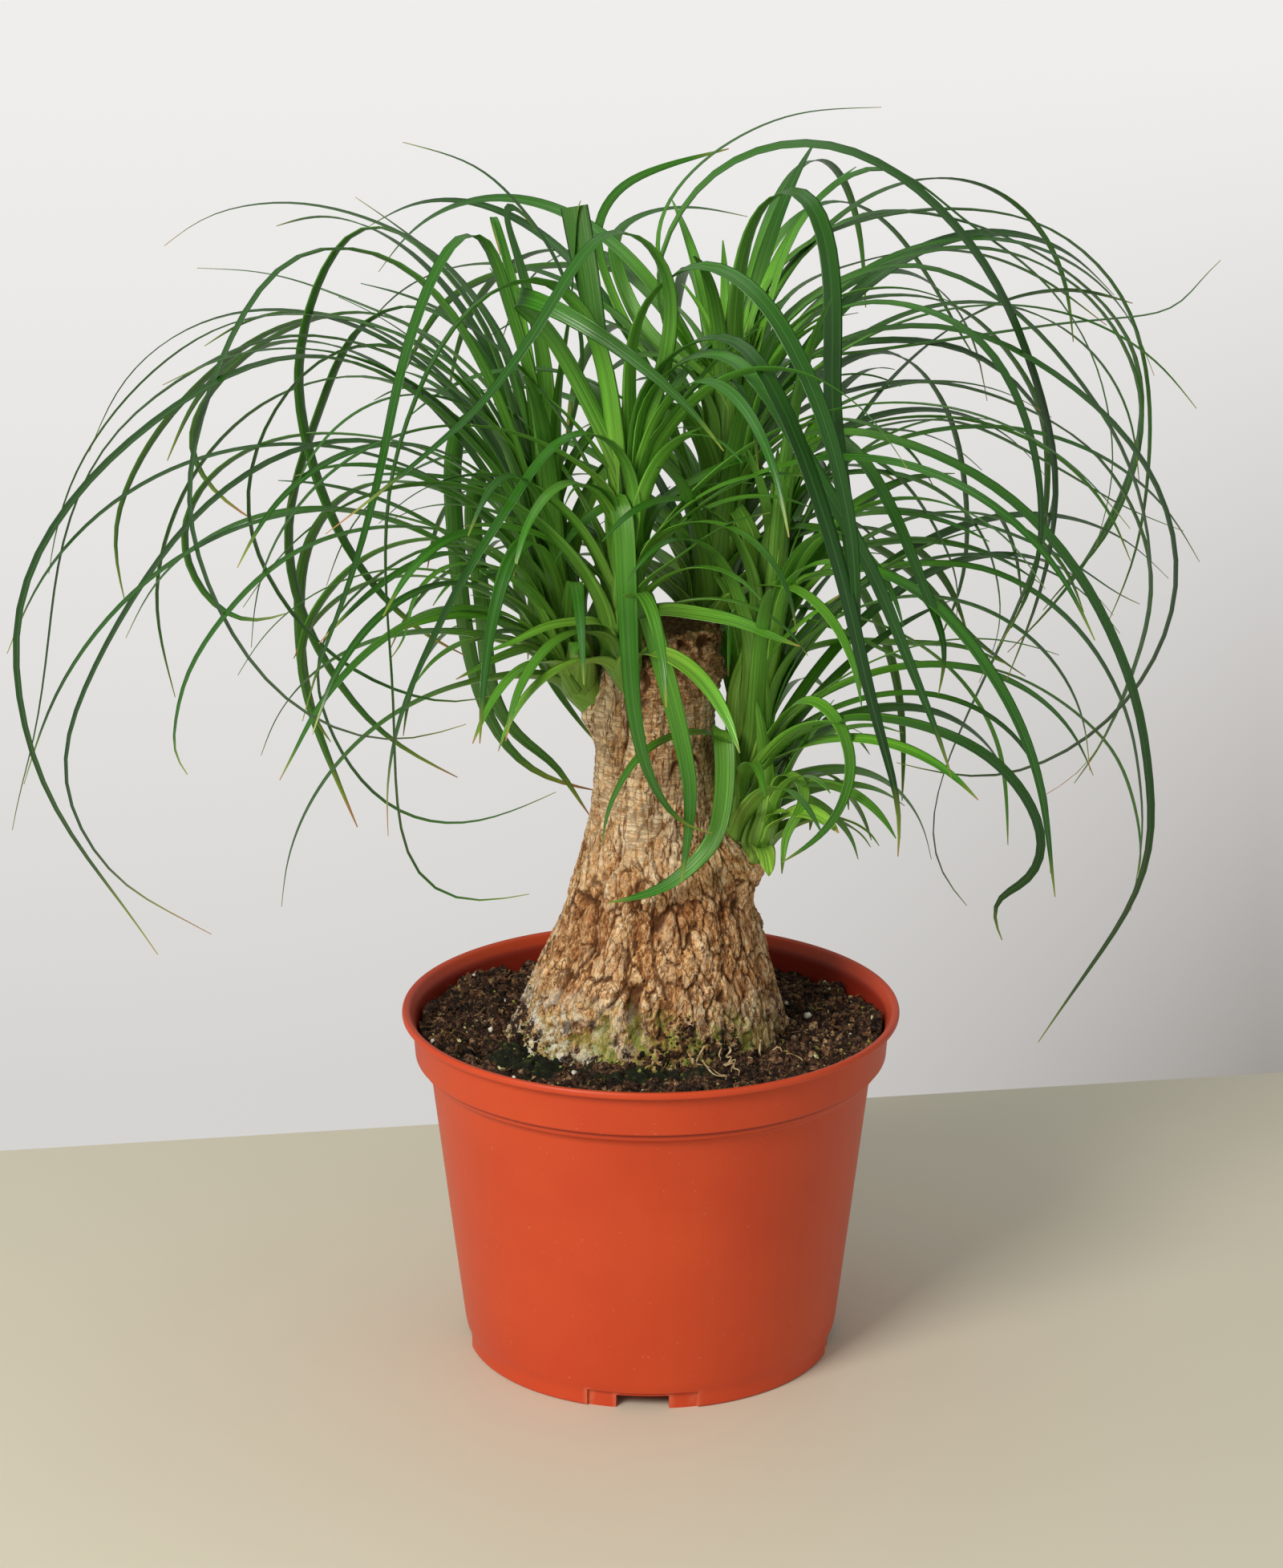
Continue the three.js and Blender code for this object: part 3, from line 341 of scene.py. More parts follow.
placeCamera()
placeLights()
paperWallLight()
placeTable()
bpy.context.scene.view_settings.view_transform = "Standard"  # the hex colours come out as written
print("studio: camera, three soft lights, table")


# Pot: an injection-moulded nursery pot, turned from one profile, then cut at the foot

pot = {
    "height": 118, "rimRadius": 82.5, "lipHeight": 2.6,
    "collarTopRadius": 79.2, "collarRadius": 78.2, "collarHeight": 13.8, "collarLedge": 1.8,
    "bodyTopRadius": 73.4, "footRadius": 62.9, "skirtHeight": 7.6, "skirtStep": 0.8,
    "wall": 1.3, "floorHeight": 5.2, "floorThickness": 1.4, "footRingWidth": 4, "padRadius": 14,
    "notches": 4, "notchTurn": -92.6, "notchAngle": 16.4, "notchHeight": 4.4,
    "panelAngle": 34, "panelHeight": 6, "panelDepth": 1.3,
    "drains": 6, "drainRadius": 4, "drainCircle": 46, "drainSides": 24, "drainCutTop": 11,
    "sides": 240, "sharpAngle": 38,
}
pot["lipBase"] = pot["height"] - pot["lipHeight"]
pot["collarBottom"] = pot["lipBase"] - pot["collarHeight"]
pot["bodyTop"] = pot["collarBottom"] - 2 * pot["collarLedge"]


def bodyRadiusAt(height):
    share = (height - pot["skirtHeight"]) / (pot["bodyTop"] - pot["skirtHeight"])
    return pot["footRadius"] + (pot["bodyTopRadius"] - pot["footRadius"]) * share


def filleted(corners, steps=5):
    # corners are (radius, height, fillet); each inner corner becomes a short smooth arc
    line = [corners[0][:2]]
    for before, (x, z, fillet), after in zip(corners, corners[1:], corners[2:]):
        here = np.array([x, z], float)
        back = np.array(before[:2], float) - here
        ahead = np.array(after[:2], float) - here
        reach = min(fillet, 0.45 * np.linalg.norm(back), 0.45 * np.linalg.norm(ahead))
        if reach < 0.05:
            line.append((x, z))
            continue
        first = here + back / np.linalg.norm(back) * reach
        last = here + ahead / np.linalg.norm(ahead) * reach
        for t in np.linspace(0, 1, steps + 1):
            line.append(tuple((1 - t) ** 2 * first + 2 * t * (1 - t) * here + t * t * last))
    line.append(corners[-1][:2])
    return line


def potProfile():
    p = pot
    top, base, bottom = p["height"], p["lipBase"], p["collarBottom"]
    skirt = p["footRadius"] - p["skirtStep"]
    floorTop = p["floorHeight"] + p["floorThickness"]
    corners = [
        (0, 0.2, 0), (p["padRadius"], 0, 0.8), (p["padRadius"], p["floorHeight"], 0.8),
        (skirt - p["footRingWidth"], p["floorHeight"], 0.8),
        (skirt - p["footRingWidth"] + 0.6, 0, 0.4), (skirt - 0.5, 0, 0.5), (skirt, 0.8, 0.3),
        (skirt, p["skirtHeight"] - 2.6, 1.4), (p["footRadius"], p["skirtHeight"] + 0.6, 1.6),
        (bodyRadiusAt(40), 40, 0.5), (p["bodyTopRadius"], p["bodyTop"], 2.2),
        (p["collarRadius"] - p["collarLedge"], bottom - p["collarLedge"], 0.7),
        (p["collarRadius"] - p["collarLedge"] * 0.8, bottom, 0.25),
        (p["collarRadius"], bottom + 0.6, 0.6), (p["collarTopRadius"], base, 0.9),
        (p["rimRadius"] - 0.2, base + 0.3, 0.6), (p["rimRadius"], base + 1.3, 0.7),
        (p["rimRadius"] - 0.4, top, 1.0), (p["rimRadius"] - 2.4, top - 0.3, 1.2),
        (p["collarTopRadius"] - p["wall"], base - 1.5, 1.5),
        (p["collarRadius"] - p["wall"], bottom, 0.8),
        (bodyRadiusAt(p["bodyTop"]) - p["wall"], p["bodyTop"] - 1, 2),
        (bodyRadiusAt(floorTop + 2) - p["wall"], floorTop + 2, 1.5),
        (bodyRadiusAt(floorTop + 2) - p["wall"] - 2, floorTop, 1.5), (0, floorTop, 0),
    ]
    return filleted(corners)


def cutter(name, outline, top):
    # an upright block over a closed outline, from below the foot to a height
    n = len(outline)
    points = [(x, y, z) for z in (-1, top) for x, y in outline]
    faces = [list(range(n))[::-1], list(range(n, 2 * n))]
    faces += [[i, (i + 1) % n, (i + 1) % n + n, i + n] for i in range(n)]
    return meshObject(name, points, faces, smooth=False)


def sectorCutter(name, inner, outer, top, angle, turn):
    # a block in the shape of a ring sector, for cutting the foot
    steps = 10
    turns = np.radians(turn) + np.radians(angle) * (np.arange(steps + 1) / steps - 0.5)
    edge = [(outer, t) for t in turns] + [(inner, t) for t in turns[::-1]]
    return cutter(name, [(r * math.cos(t), r * math.sin(t)) for r, t in edge], top)


def drainCutter(turn):
    x, y = pot["drainCircle"] * math.cos(turn), pot["drainCircle"] * math.sin(turn)
    ring = np.arange(pot["drainSides"]) / pot["drainSides"] * 2 * math.pi
    outline = [(x + pot["drainRadius"] * math.cos(t), y + pot["drainRadius"] * math.sin(t)) for t in ring]
    return cutter("drainCut", outline, pot["drainCutTop"])


def potCutters():
    p = pot
    skirt = p["footRadius"] - p["skirtStep"]
    clear = skirt + 6  # past the outside of the foot
    cutters = []
    for i in range(p["notches"]):
        turn = p["notchTurn"] + i * 360 / p["notches"]
        cutters.append(sectorCutter("panelCut", skirt - p["panelDepth"], clear, p["panelHeight"],
                                    p["panelAngle"], turn))
        cutters.append(sectorCutter("notchCut", skirt - p["footRingWidth"] - 3, clear, p["notchHeight"],
                                    p["notchAngle"], turn))
    for i in range(p["drains"]):
        cutters.append(drainCutter(math.radians(p["notchTurn"] + i * 360 / p["drains"])))
    return cutters


def scuffsAt(points):
    # worn, whitened plastic along the edges of the foot's notches and panels
    turn = np.degrees(np.arctan2(points[:, 1], points[:, 0]))
    height = points[:, 2]
    outer = np.hypot(points[:, 0], points[:, 1]) > pot["footRadius"] - pot["skirtStep"] - 2.2
    worn = np.zeros(len(points))
    for i in range(pot["notches"]):
        off = (turn - pot["notchTurn"] - i * 360 / pot["notches"] + 180) % 360 - 180
        for half, tall in ((pot["panelAngle"] / 2, pot["panelHeight"]),
                           (pot["notchAngle"] / 2, pot["notchHeight"])):
            side = np.exp(-((np.abs(off) - half) / 0.5) ** 2) * (height < tall + 0.5)
            worn = np.maximum(worn, side)
    return worn * outer


def insideAt(points):
    # 1 on the inner wall, where painted shade goes, 0 on everything that shows from outside
    p = pot
    levels = [0, p["skirtHeight"], p["bodyTop"], p["collarBottom"], p["lipBase"], p["height"]]
    reaches = [p["footRadius"], p["footRadius"], p["bodyTopRadius"], p["collarRadius"], p["collarTopRadius"],
               p["collarTopRadius"]]
    inward = np.interp(points[:, 2], levels, reaches) - np.hypot(points[:, 0], points[:, 1])
    return smoothstep(0.3, 1.1, inward) * (points[:, 2] > p["skirtHeight"])


def makePot(material):
    profile = potProfile()
    sides = pot["sides"]
    turns = np.arange(sides) / sides * 2 * math.pi
    rings = profile[1:-1]
    points = [(r * math.cos(t), r * math.sin(t), z) for r, z in rings for t in turns]
    points += [(0, 0, profile[0][1]), (0, 0, profile[-1][1])]
    poles = (len(points) - 2, len(points) - 1)
    body = meshObject("potTurned", points, ringFaces(len(rings), sides, *poles))
    cutters = potCutters()
    for block in cutters:
        cut = body.modifiers.new(block.name, "BOOLEAN")
        cut.object = block
        cut.operation = "DIFFERENCE"
        cut.solver = "EXACT"
    made = bakedCopy(body, "pot_shell")
    for block in cutters:
        bpy.data.objects.remove(block)
    faceOutwards(made.data)
    made.data.set_sharp_from_angle(angle=math.radians(pot["sharpAngle"]))
    places = np.array([v.co for v in made.data.vertices]) / mm
    markPoints(made.data, {"scuff": scuffsAt(places), "inside": insideAt(places)})
    dress(made, material, ["pot"])


def mouldedPolypropylene():
    # terracotta-coloured polypropylene, injection moulded: satin, faintly waxy, with dusty handling marks and
    # painted shade on its inner wall
    material, tree = newMaterial("polypropyleneInjectionMoulded")
    place = addNode(tree, "TexCoord").outputs["Object"]
    cloud = addNode(tree, "TexNoise", {"Vector": place, "Scale": 26, "Detail": 3, "Roughness": 0.55})
    body = addNode(tree, "ValToRGB", {0: cloud})
    setStops(body, [(0.3, "#C4421F"), (0.7, "#CC4A23")])
    # painted shade: the inner wall is made darker, standing in for the shade inside the pot
    inside = addNode(tree, "Attribute", attribute_name="inside").outputs["Fac"]
    innerShade = addNode(tree, "Math", {0: inside, 1: 0.85}, operation="MULTIPLY")
    innerShaded = addNode(tree, "Mix", {0: innerShade, 6: body, 7: linear("#8C2518")}, data_type="RGBA")
    # dust specks 1 to 2 mm across
    specks = addNode(tree, "TexNoise", {"Vector": place, "Scale": 620, "Detail": 2})
    speckMask = addNode(tree, "MapRange",
                        {"Value": specks, "From Min": 0.7, "From Max": 0.78, "To Max": 0.22})
    dusty = addNode(tree, "Mix", {0: speckMask, 6: innerShaded, 7: linear("#E0A58C")}, data_type="RGBA")
    scuff = addNode(tree, "Attribute", attribute_name="scuff").outputs["Fac"]
    breakUp = addNode(tree, "TexNoise", {"Vector": place, "Scale": 900, "Detail": 3})
    scuffMask = addNode(tree, "Math", {0: scuff, 1: breakUp}, operation="MULTIPLY")
    worn = addNode(tree, "Mix", {0: scuffMask, 6: dusty, 7: linear("#DC7F5E")}, data_type="RGBA")
    gloss = addNode(tree, "MapRange", {"Value": cloud, "To Min": 0.36, "To Max": 0.46})
    # the mould's fine leathery grain, about 0.8 mm
    grain = addNode(tree, "TexNoise", {"Vector": place, "Scale": 1200, "Detail": 2})
    bump = addNode(tree, "Bump", {"Height": grain, "Strength": 0.06, "Distance": 0.0004})
    shader = addNode(tree, "BsdfPrincipled", {"Base Color": worn, "Roughness": gloss, "Normal": bump,
                                              "IOR": 1.49, "Specular IOR Level": 0.34})
    finishMaterial(tree, shader)
    return material


makePot(mouldedPolypropylene())
print("pot: turned, notched and drained")


# Trunk: the swollen woody foot and the neck, with corky plates, cracks and leaf scars

trunk = {
    # height, middle, radius
    "rings": [(84, -1, 34), (92, -1, 44), (105, -1.5, 47.5), (115, 0, 44.5), (130, 1.5, 39.5),
              (147, 3, 33), (165, 2.8, 27.4), (185, 1.3, 21.5), (200, 1.5, 19.5), (220, 2, 18.5),
              (235, 3, 19), (248, 3, 18)],
    # woody knobs under the shoots: direction, height, how far out and how wide
    "knobs": [(187, 219, 6, 7), (-8, 170, 7.5, 8), (-20, 166, 4, 7), (-118, 228, 3.5, 6),
              (38, 240, 3.5, 6)],
    "top": 248, "faceMiddle": 3,
    "sides": 384, "lowRows": 8, "rows": 222, "capRings": 26, "topDrop": 2.2, "topDish": 0.8,
    "edgeRound": 2.5, "plainBelow": 88, "roughAbove": 102, "neckFrom": 158, "neckTo": 190,
    # the crumbled wood below the sawn top: its heights, and the side that it is on
    "crumbleFrom": 218, "crumbleTo": 232, "crumbleTurn": 0.75,
    "soilLine": 104, "soilMiddle": 108.5, "soilSlope": 3,
    # how high soil and moss climb: everywhere, more in places, and most at the front
    "climb": 3, "climbSpread": 6, "frontClimb": 9, "frontTurn": 1.35,
    # plates: their size, then how high they stand, how far they tilt and how deep the gaps are
    "plateWide": 4.6, "plateTall": 23, "plate": 0.5, "lean": 1.0, "gap": 1.05, "lesserGap": 0.5,
    "lesserWide": 2.2, "lesserTall": 9,
    "swell": 0.6, "grit": 0.16, "furrow": 1.5, "scarSpacing": 1.9, "scar": 0.34, "crumble": 2.4,
}


def trunkMiddleAt(heights):
    rows = np.array(trunk["rings"], float)
    return np.interp(heights, rows[:, 0], rows[:, 1]), np.interp(heights, rows[:, 0], rows[:, 2])


def knobReach(turn, height, radius):
    out = np.zeros(turn.shape)
    for direction, level, reach, spread in trunk["knobs"]:
        across = radius * np.sin((turn - math.radians(direction)) / 2) * 2
        away = np.hypot(across, height - level) / spread
        out += reach * np.exp(-away * away)
    return out


def thinLines(noise, width):
    # 1 on the narrow lines where the noise changes sign, 0 away from them
    return 1 - smoothstep(0, width, np.abs(noise))


def platesAt(x, y, z, seed):
    # plates one unit across: (0 at an edge and rising inwards, the plate's own draw, its lean from -1 to 1)
    cells = [np.floor(v) for v in (x, y, z)]
    nearest, second = np.full(x.shape, 9.0), np.full(x.shape, 9.0)
    own, lean = np.zeros(x.shape), np.zeros(x.shape)
    for step in np.ndindex(3, 3, 3):
        corner = [cell + part - 1 for cell, part in zip(cells, step)]
        off = [v - c - 0.08 - 0.84 * latticeDraw(*corner, seed + k)
               for k, (v, c) in enumerate(zip((x, y, z), corner))]
        away = ((off[0] ** 2 + off[1] ** 2) ** 2 + off[2] ** 4) ** 0.25
        closer = away < nearest
        tilt = sum((2 * latticeDraw(*corner, seed + 5 + k) - 1) * part for k, part in enumerate(off))
        second = np.where(closer, nearest, np.minimum(second, away))
        own = np.where(closer, latticeDraw(*corner, seed + 9), own)
        lean = np.where(closer, tilt, lean)
        nearest = np.minimum(nearest, away)
    return second - nearest, own, lean


def barkRelief(turn, height):
    # (relief in mm, crack, crumble and the plates' own tone, each from 0 to 1)
    t = trunk
    _, radius = trunkMiddleAt(height)
    x, y = radius * np.cos(turn), radius * np.sin(turn)
    neck = smoothstep(t["neckFrom"], t["neckTo"], height + 8 * valueNoise(x / 9, y / 9, height / 12, 9))
    coarse, fine = (x / 7, y / 7, height / 11), (x / 2, y / 2, height / 2.4)
    bendX = x + 1.4 * valueNoise(*coarse, 5) + 0.5 * valueNoise(*fine, 4)
    bendY = y + 1.4 * valueNoise(*coarse, 6) + 0.5 * valueNoise(*fine, 7)
    bendZ = height + 2 * valueNoise(x / 4, y / 4, height / 9, 8)
    # long furrows run up the trunk; upright plates lie between them, each a little tilted, with lesser ones
    broken = smoothstep(-0.5, 0.2, valueNoise(x / 9, y / 9, height / 15, 11))
    long = thinLines(valueNoise(bendX / 8, bendY / 8, height / 46, 21), 0.11) * broken
    inside, own, lean = platesAt(bendX / t["plateWide"], bendY / t["plateWide"], bendZ / t["plateTall"], 61)
    lesserIn, lesserOwn, lesserLean = platesAt(bendX / t["lesserWide"], bendY / t["lesserWide"],
                                              bendZ / t["lesserTall"], 81)
    gap = 1 - smoothstep(0.0, 0.12, inside)
    parted = smoothstep(-0.3, 0.4, valueNoise(x / 6, y / 6, height / 9, 33))
    lesserGap = (1 - smoothstep(0.0, 0.16, lesserIn)) * parted
    swell = valueNoise(bendX / 7, bendY / 7, height / 26, 12)
    grit = layeredNoise(x / 1.1, y / 1.1, height / 1.5, 19, 2)
    # level leaf scars, close together on the neck
    level = height + 1.2 * valueNoise(x / 8, y / 8, height / 9, 41)
    scars = thinLines(valueNoise(x / 9, y / 9, level / t["scarSpacing"], 43), 0.3) * (0.2 + 0.8 * neck)
    rough = (layeredNoise(x / 3.4, y / 3.4, height / 3.4, 23, 4)
             + 0.7 * valueNoise(x / 6, y / 6, height / 5, 24))
    crumble = smoothstep(t["crumbleFrom"], t["crumbleTo"], height + 6 * rough)
    crumble = crumble * smoothstep(0.0, 0.6, np.cos(turn + t["crumbleTurn"]))
    plates = (t["plate"] * (own - 0.5) + t["lean"] * lean - t["gap"] * gap
              + 0.4 * t["plate"] * (lesserOwn - 0.5) + 0.45 * t["lean"] * lesserLean
              - t["lesserGap"] * lesserGap)
    relief = (t["swell"] * swell + plates * (1 - 0.35 * neck) + t["grit"] * grit
              - t["furrow"] * long * (1 + 0.8 * smoothstep(150, 125, height))
              - t["scar"] * scars) * (1 - crumble) + t["crumble"] * crumble * rough
    netted = np.maximum(gap, 0.7 * lesserGap) * (1 - 0.5 * neck)
    crack = np.clip(np.maximum(long, netted) * (1 - 0.7 * crumble)
                    + crumble * smoothstep(-0.1, -0.6, rough), 0, 1)
    return relief, crack, crumble, 0.65 * own + 0.35 * lesserOwn


def makeTrunk(material):
    t = trunk
    bottom, bottomMiddle = t["rings"][0][0], (t["rings"][0][1], 0)
    heights = np.concatenate([np.linspace(bottom, t["soilLine"], t["lowRows"], endpoint=False),
                              np.linspace(t["soilLine"], t["top"], t["rows"])])
    sides = t["sides"]
    turn, height = np.meshgrid(np.arange(sides) / sides * 2 * math.pi, heights)
    middle, radius = trunkMiddleAt(height)
    relief, crack, crumble, tone = barkRelief(turn, height)
    relief *= smoothstep(t["plainBelow"], t["roughAbove"], height)
    reach = radius + knobReach(turn, height, radius) + relief
    # the sawn top is a little rounded over at its edge
    reach -= t["topDrop"] * smoothstep(t["top"] - t["edgeRound"], t["top"], height) ** 2
    points = np.stack([middle + reach * np.cos(turn), reach * np.sin(turn), height], -1).reshape(-1, 3)
    # soil and moss climb the lowest few millimetres, higher in some places
    ground = t["soilMiddle"] - t["soilSlope"] * np.sin(turn)
    climb = t["climb"] + t["climbSpread"] * valueNoise(np.cos(turn) * 5, np.sin(turn) * 5, height * 0, 91)
    climb += t["frontClimb"] * smoothstep(0.75, 1, np.cos(turn + t["frontTurn"]))
    above = height - ground
    dirty = smoothstep(2, -2, above - climb + 4 * valueNoise(turn * 9, height / 4, height * 0, 93))
    dirty *= above > -5
    values = {"crack": crack.ravel(), "crumble": crumble.ravel(), "relief": relief.ravel(),
              "plateTone": tone.ravel(), "dirty": dirty.ravel()}
    capValues = {"crack": 0.72, "crumble": 1.0, "relief": 0.0, "plateTone": 0.4, "dirty": 0.0}
    # rings that close the sawn top, dished and rough
    topMiddle, topReach = float(middle[-1, 0]), reach[-1]
    rings = [points]
    flat = np.arange(sides) / sides * 2 * math.pi
    for k in range(1, t["capRings"]):
        share = 1 - k / t["capRings"]
        px, py = topMiddle + topReach * share * np.cos(flat), topReach * share * np.sin(flat)
        rough = 0.8 * layeredNoise(px / 3, py / 3, np.zeros(sides), 51, 3) - t["topDish"] * (1 - share)
        rings.append(np.column_stack([px, py, t["top"] + rough]))
        for key, value in capValues.items():
            values[key] = np.append(values[key], np.full(sides, value))
    points = np.vstack(rings + [[[topMiddle, 0, t["top"] - t["topDish"]]], [[*bottomMiddle, bottom]]])
    for key, value in capValues.items():
        values[key] = np.append(values[key], [value, value])
    poles = {"firstPole": len(points) - 1, "lastPole": len(points) - 2}
    faces = ringFaces(len(heights) + t["capRings"] - 1, sides, **poles)
    made = meshObject("trunk_bark", points, faces, values)
    faceOutwards(made.data)
    dress(made, material, ["trunk"])
    return made


def splitLines(tree, where, scale, width, distortion=0.25):
    # 1 on thin wandering lines, 0 between them
    noise = addNode(tree, "TexNoise", {"Vector": where, "Scale": scale, "Detail": 3, "Roughness": 0.55,
                                       "Distortion": distortion})
    off = addNode(tree, "Math", {0: noise, 1: 0.5}, operation="SUBTRACT")
    gap = addNode(tree, "Math", {0: off}, operation="ABSOLUTE")
    line = addNode(tree, "MapRange",
                   {"Value": gap, "From Min": 0, "From Max": width, "To Min": 1, "To Max": 0})
    return line.outputs[0]


def corkyBark():
    # weathered corky bark: matt, with painted highlight on its ridges, painted shade in its hollows and
    # painted light on the neck, brown in the cracks; lime and algae at the foot
    material, tree = newMaterial("corkyBarkWeathered")
    where = addNode(tree, "TexCoord").outputs["Object"]
    split = addNode(tree, "SeparateXYZ", {0: where})
    height = split.outputs["Z"]
    # flecks and pits 1 to 2 mm across, drawn out along the grain
    grain = addNode(tree, "Mapping", {0: where, 3: (1, 1, 0.55)})
    fleck = addNode(tree, "TexNoise", {"Vector": grain, "Scale": 640, "Detail": 7, "Roughness": 0.72})
    relief = addNode(tree, "Attribute", attribute_name="relief").outputs["Fac"]
    # painted highlight and shade: the ridges are made paler and the hollows browner from the relief, and each
    # plate has a tone of its own
    plateTone = addNode(tree, "Attribute", attribute_name="plateTone").outputs["Fac"]
    mixed = addNode(tree, "Math", {0: relief, 1: 0.06, 2: fleck}, operation="MULTIPLY_ADD")
    toned = addNode(tree, "Math", {0: plateTone, 1: 0.16, 2: mixed}, operation="MULTIPLY_ADD")
    # painted light: a little paler on the neck, lifting the shade that the leaves above cast on it
    neck = addNode(tree, "MapRange", {"Value": height, "From Min": 0.162, "From Max": 0.185, "To Max": 0.085})
    paler = addNode(tree, "Math", {0: toned, 1: neck}, operation="ADD")
    tan = addNode(tree, "ValToRGB", {0: paler})
    setStops(tan, [(0.38, "#8E5A32"), (0.5, "#D39C62"), (0.6, "#F8CF9A"), (0.72, "#FFE8C2")])
    # patches 10 to 20 mm across, browner and paler by turns
    patch = addNode(tree, "TexNoise", {"Vector": where, "Scale": 62, "Detail": 4, "Roughness": 0.6})
    # browner again in a belt where the foot narrows, 130 to 175 mm up
    belt = addNode(tree, "ValToRGB", {0: height})
    belt.color_ramp.interpolation = "EASE"
    setStops(belt, [(0.128, "#000000"), (0.145, "#3C3C3C"), (0.162, "#3C3C3C"), (0.176, "#000000")])
    shaded = addNode(tree, "Math", {0: patch, 1: belt}, operation="ADD")
    patchMask = addNode(tree, "MapRange",
                        {"Value": shaded, "From Min": 0.45, "From Max": 0.72, "To Max": 0.62})
    browner = addNode(tree, "Mix", {0: patchMask, 6: tan, 7: linear("#B88B64")},
                      data_type="RGBA", blend_type="MULTIPLY")
    crumble = addNode(tree, "Attribute", attribute_name="crumble").outputs["Fac"]
    crumbleMask = addNode(tree, "MapRange", {"Value": crumble, "To Max": 0.8})
    rust = addNode(tree, "ValToRGB", {0: fleck})
    setStops(rust, [(0.4, "#7A4424"), (0.49, "#C98A55"), (0.58, "#F8D3A0")])
    crumbled = addNode(tree, "Mix", {0: crumbleMask, 6: browner, 7: rust}, data_type="RGBA")
    crack = addNode(tree, "Attribute", attribute_name="crack").outputs["Fac"]
    crackMask = addNode(tree, "MapRange", {"Value": crack, "From Min": 0.25, "From Max": 0.9, "To Max": 0.9})
    cracked = addNode(tree, "Mix", {0: crackMask, 6: crumbled, 7: linear("#4A2A15")}, data_type="RGBA")
    # long splits up the trunk 6 mm apart, finer ones between them, and level leaf scars on the neck
    runs = addNode(tree, "Mapping", {0: where, 3: (1, 1, 0.2)})
    shorts = addNode(tree, "Mapping", {0: where, 3: (1, 1, 0.5)})
    levels = addNode(tree, "Mapping", {0: where, 3: (0.16, 0.16, 1)})
    long = splitLines(tree, runs.outputs[0], 170, 0.024)
    short = splitLines(tree, shorts.outputs[0], 430, 0.035, 0.6)
    level = splitLines(tree, levels.outputs[0], 620, 0.075)
    onNeck = addNode(tree, "MapRange",
                     {"Value": height, "From Min": 0.16, "From Max": 0.188, "To Min": 0.15, "To Max": 0.62})
    scars = addNode(tree, "Math", {0: level, 1: onNeck}, operation="MULTIPLY")
    offNeck = addNode(tree, "MapRange",
                      {"Value": height, "From Min": 0.16, "From Max": 0.188, "To Min": 0.75, "To Max": 0.22})
    flaws = addNode(tree, "Math", {0: short, 1: offNeck}, operation="MULTIPLY")
    most = addNode(tree, "Math", {0: long, 1: flaws}, operation="MAXIMUM")
    lines = addNode(tree, "Math", {0: most, 1: scars}, operation="MAXIMUM")
    lined = addNode(tree, "Mix", {0: lines, 6: cracked, 7: linear("#6E421F")}, data_type="RGBA")
    # lime crust: whitish and ragged, most of it on the left of the foot, up to 133 mm high
    limeBand = addNode(tree, "MapRange", {"Value": height, "From Min": 0.133, "From Max": 0.122})
    limeSide = addNode(tree, "MapRange",
                       {"Value": split.outputs["X"], "From Min": 0.0, "From Max": -0.026, "To Min": 0.06})
    crust = addNode(tree, "TexNoise", {"Vector": where, "Scale": 190, "Detail": 6, "Roughness": 0.75})
    crustMask = addNode(tree, "MapRange", {"Value": crust, "From Min": 0.48, "From Max": 0.56})
    limeReach = addNode(tree, "Math", {0: limeBand, 1: limeSide}, operation="MULTIPLY")
    limeMask = addNode(tree, "Math", {0: limeReach, 1: crustMask}, operation="MULTIPLY")
    limed = addNode(tree, "Mix", {0: limeMask, 6: lined, 7: linear("#F6EDD8")}, data_type="RGBA")
    # algae and soil splashes in the lowest 25 mm, greenest at the front
    algaeBand = addNode(tree, "MapRange", {"Value": height, "From Min": 0.133, "From Max": 0.117})
    aside = addNode(tree, "Math", {0: split.outputs["X"], 1: 0.006}, operation="SUBTRACT")
    offFront = addNode(tree, "Math", {0: aside}, operation="ABSOLUTE")
    algaeSide = addNode(tree, "MapRange",
                        {"Value": offFront, "From Min": 0.034, "From Max": 0.016, "To Min": 0.35})
    film = addNode(tree, "TexNoise", {"Vector": where, "Scale": 150, "Detail": 6, "Roughness": 0.7})
    filmMask = addNode(tree, "MapRange", {"Value": film, "From Min": 0.47, "From Max": 0.56, "To Max": 0.9})
    algaeHere = addNode(tree, "Math", {0: algaeBand, 1: filmMask}, operation="MULTIPLY")
    algaeMask = addNode(tree, "Math", {0: algaeHere, 1: algaeSide}, operation="MULTIPLY")
    greened = addNode(tree, "Mix", {0: algaeMask, 6: limed, 7: linear("#8E9C3E")}, data_type="RGBA")
    soiled = addNode(tree, "MapRange", {"Value": film, "From Min": 0.49, "From Max": 0.43, "To Max": 0.97})
    soilMask = addNode(tree, "Math", {0: algaeBand, 1: soiled}, operation="MULTIPLY")
    splashed = addNode(tree, "Mix", {0: soilMask, 6: greened, 7: linear("#2C1B11")}, data_type="RGBA")
    # relief too fine for the mesh: fibres, pits and flake edges under 1.5 mm
    fine = addNode(tree, "Math", {0: lines, 1: -0.35, 2: fleck}, operation="MULTIPLY_ADD")
    bump = addNode(tree, "Bump", {"Height": fine, "Strength": 0.9, "Distance": 0.0009})
    shader = addNode(tree, "BsdfPrincipled", {"Base Color": splashed, "Roughness": 0.85, "Normal": bump,
                                              "IOR": 1.45, "Specular IOR Level": 0.3})
    finishMaterial(tree, shader)
    return material


trunkPiece = makeTrunk(corkyBark())
print("trunk: bark, cracks and sawn top")


# Soil: a clodded bed of peat, with crumbs, fibres, perlite, moss and the trunk's own fine roots on it

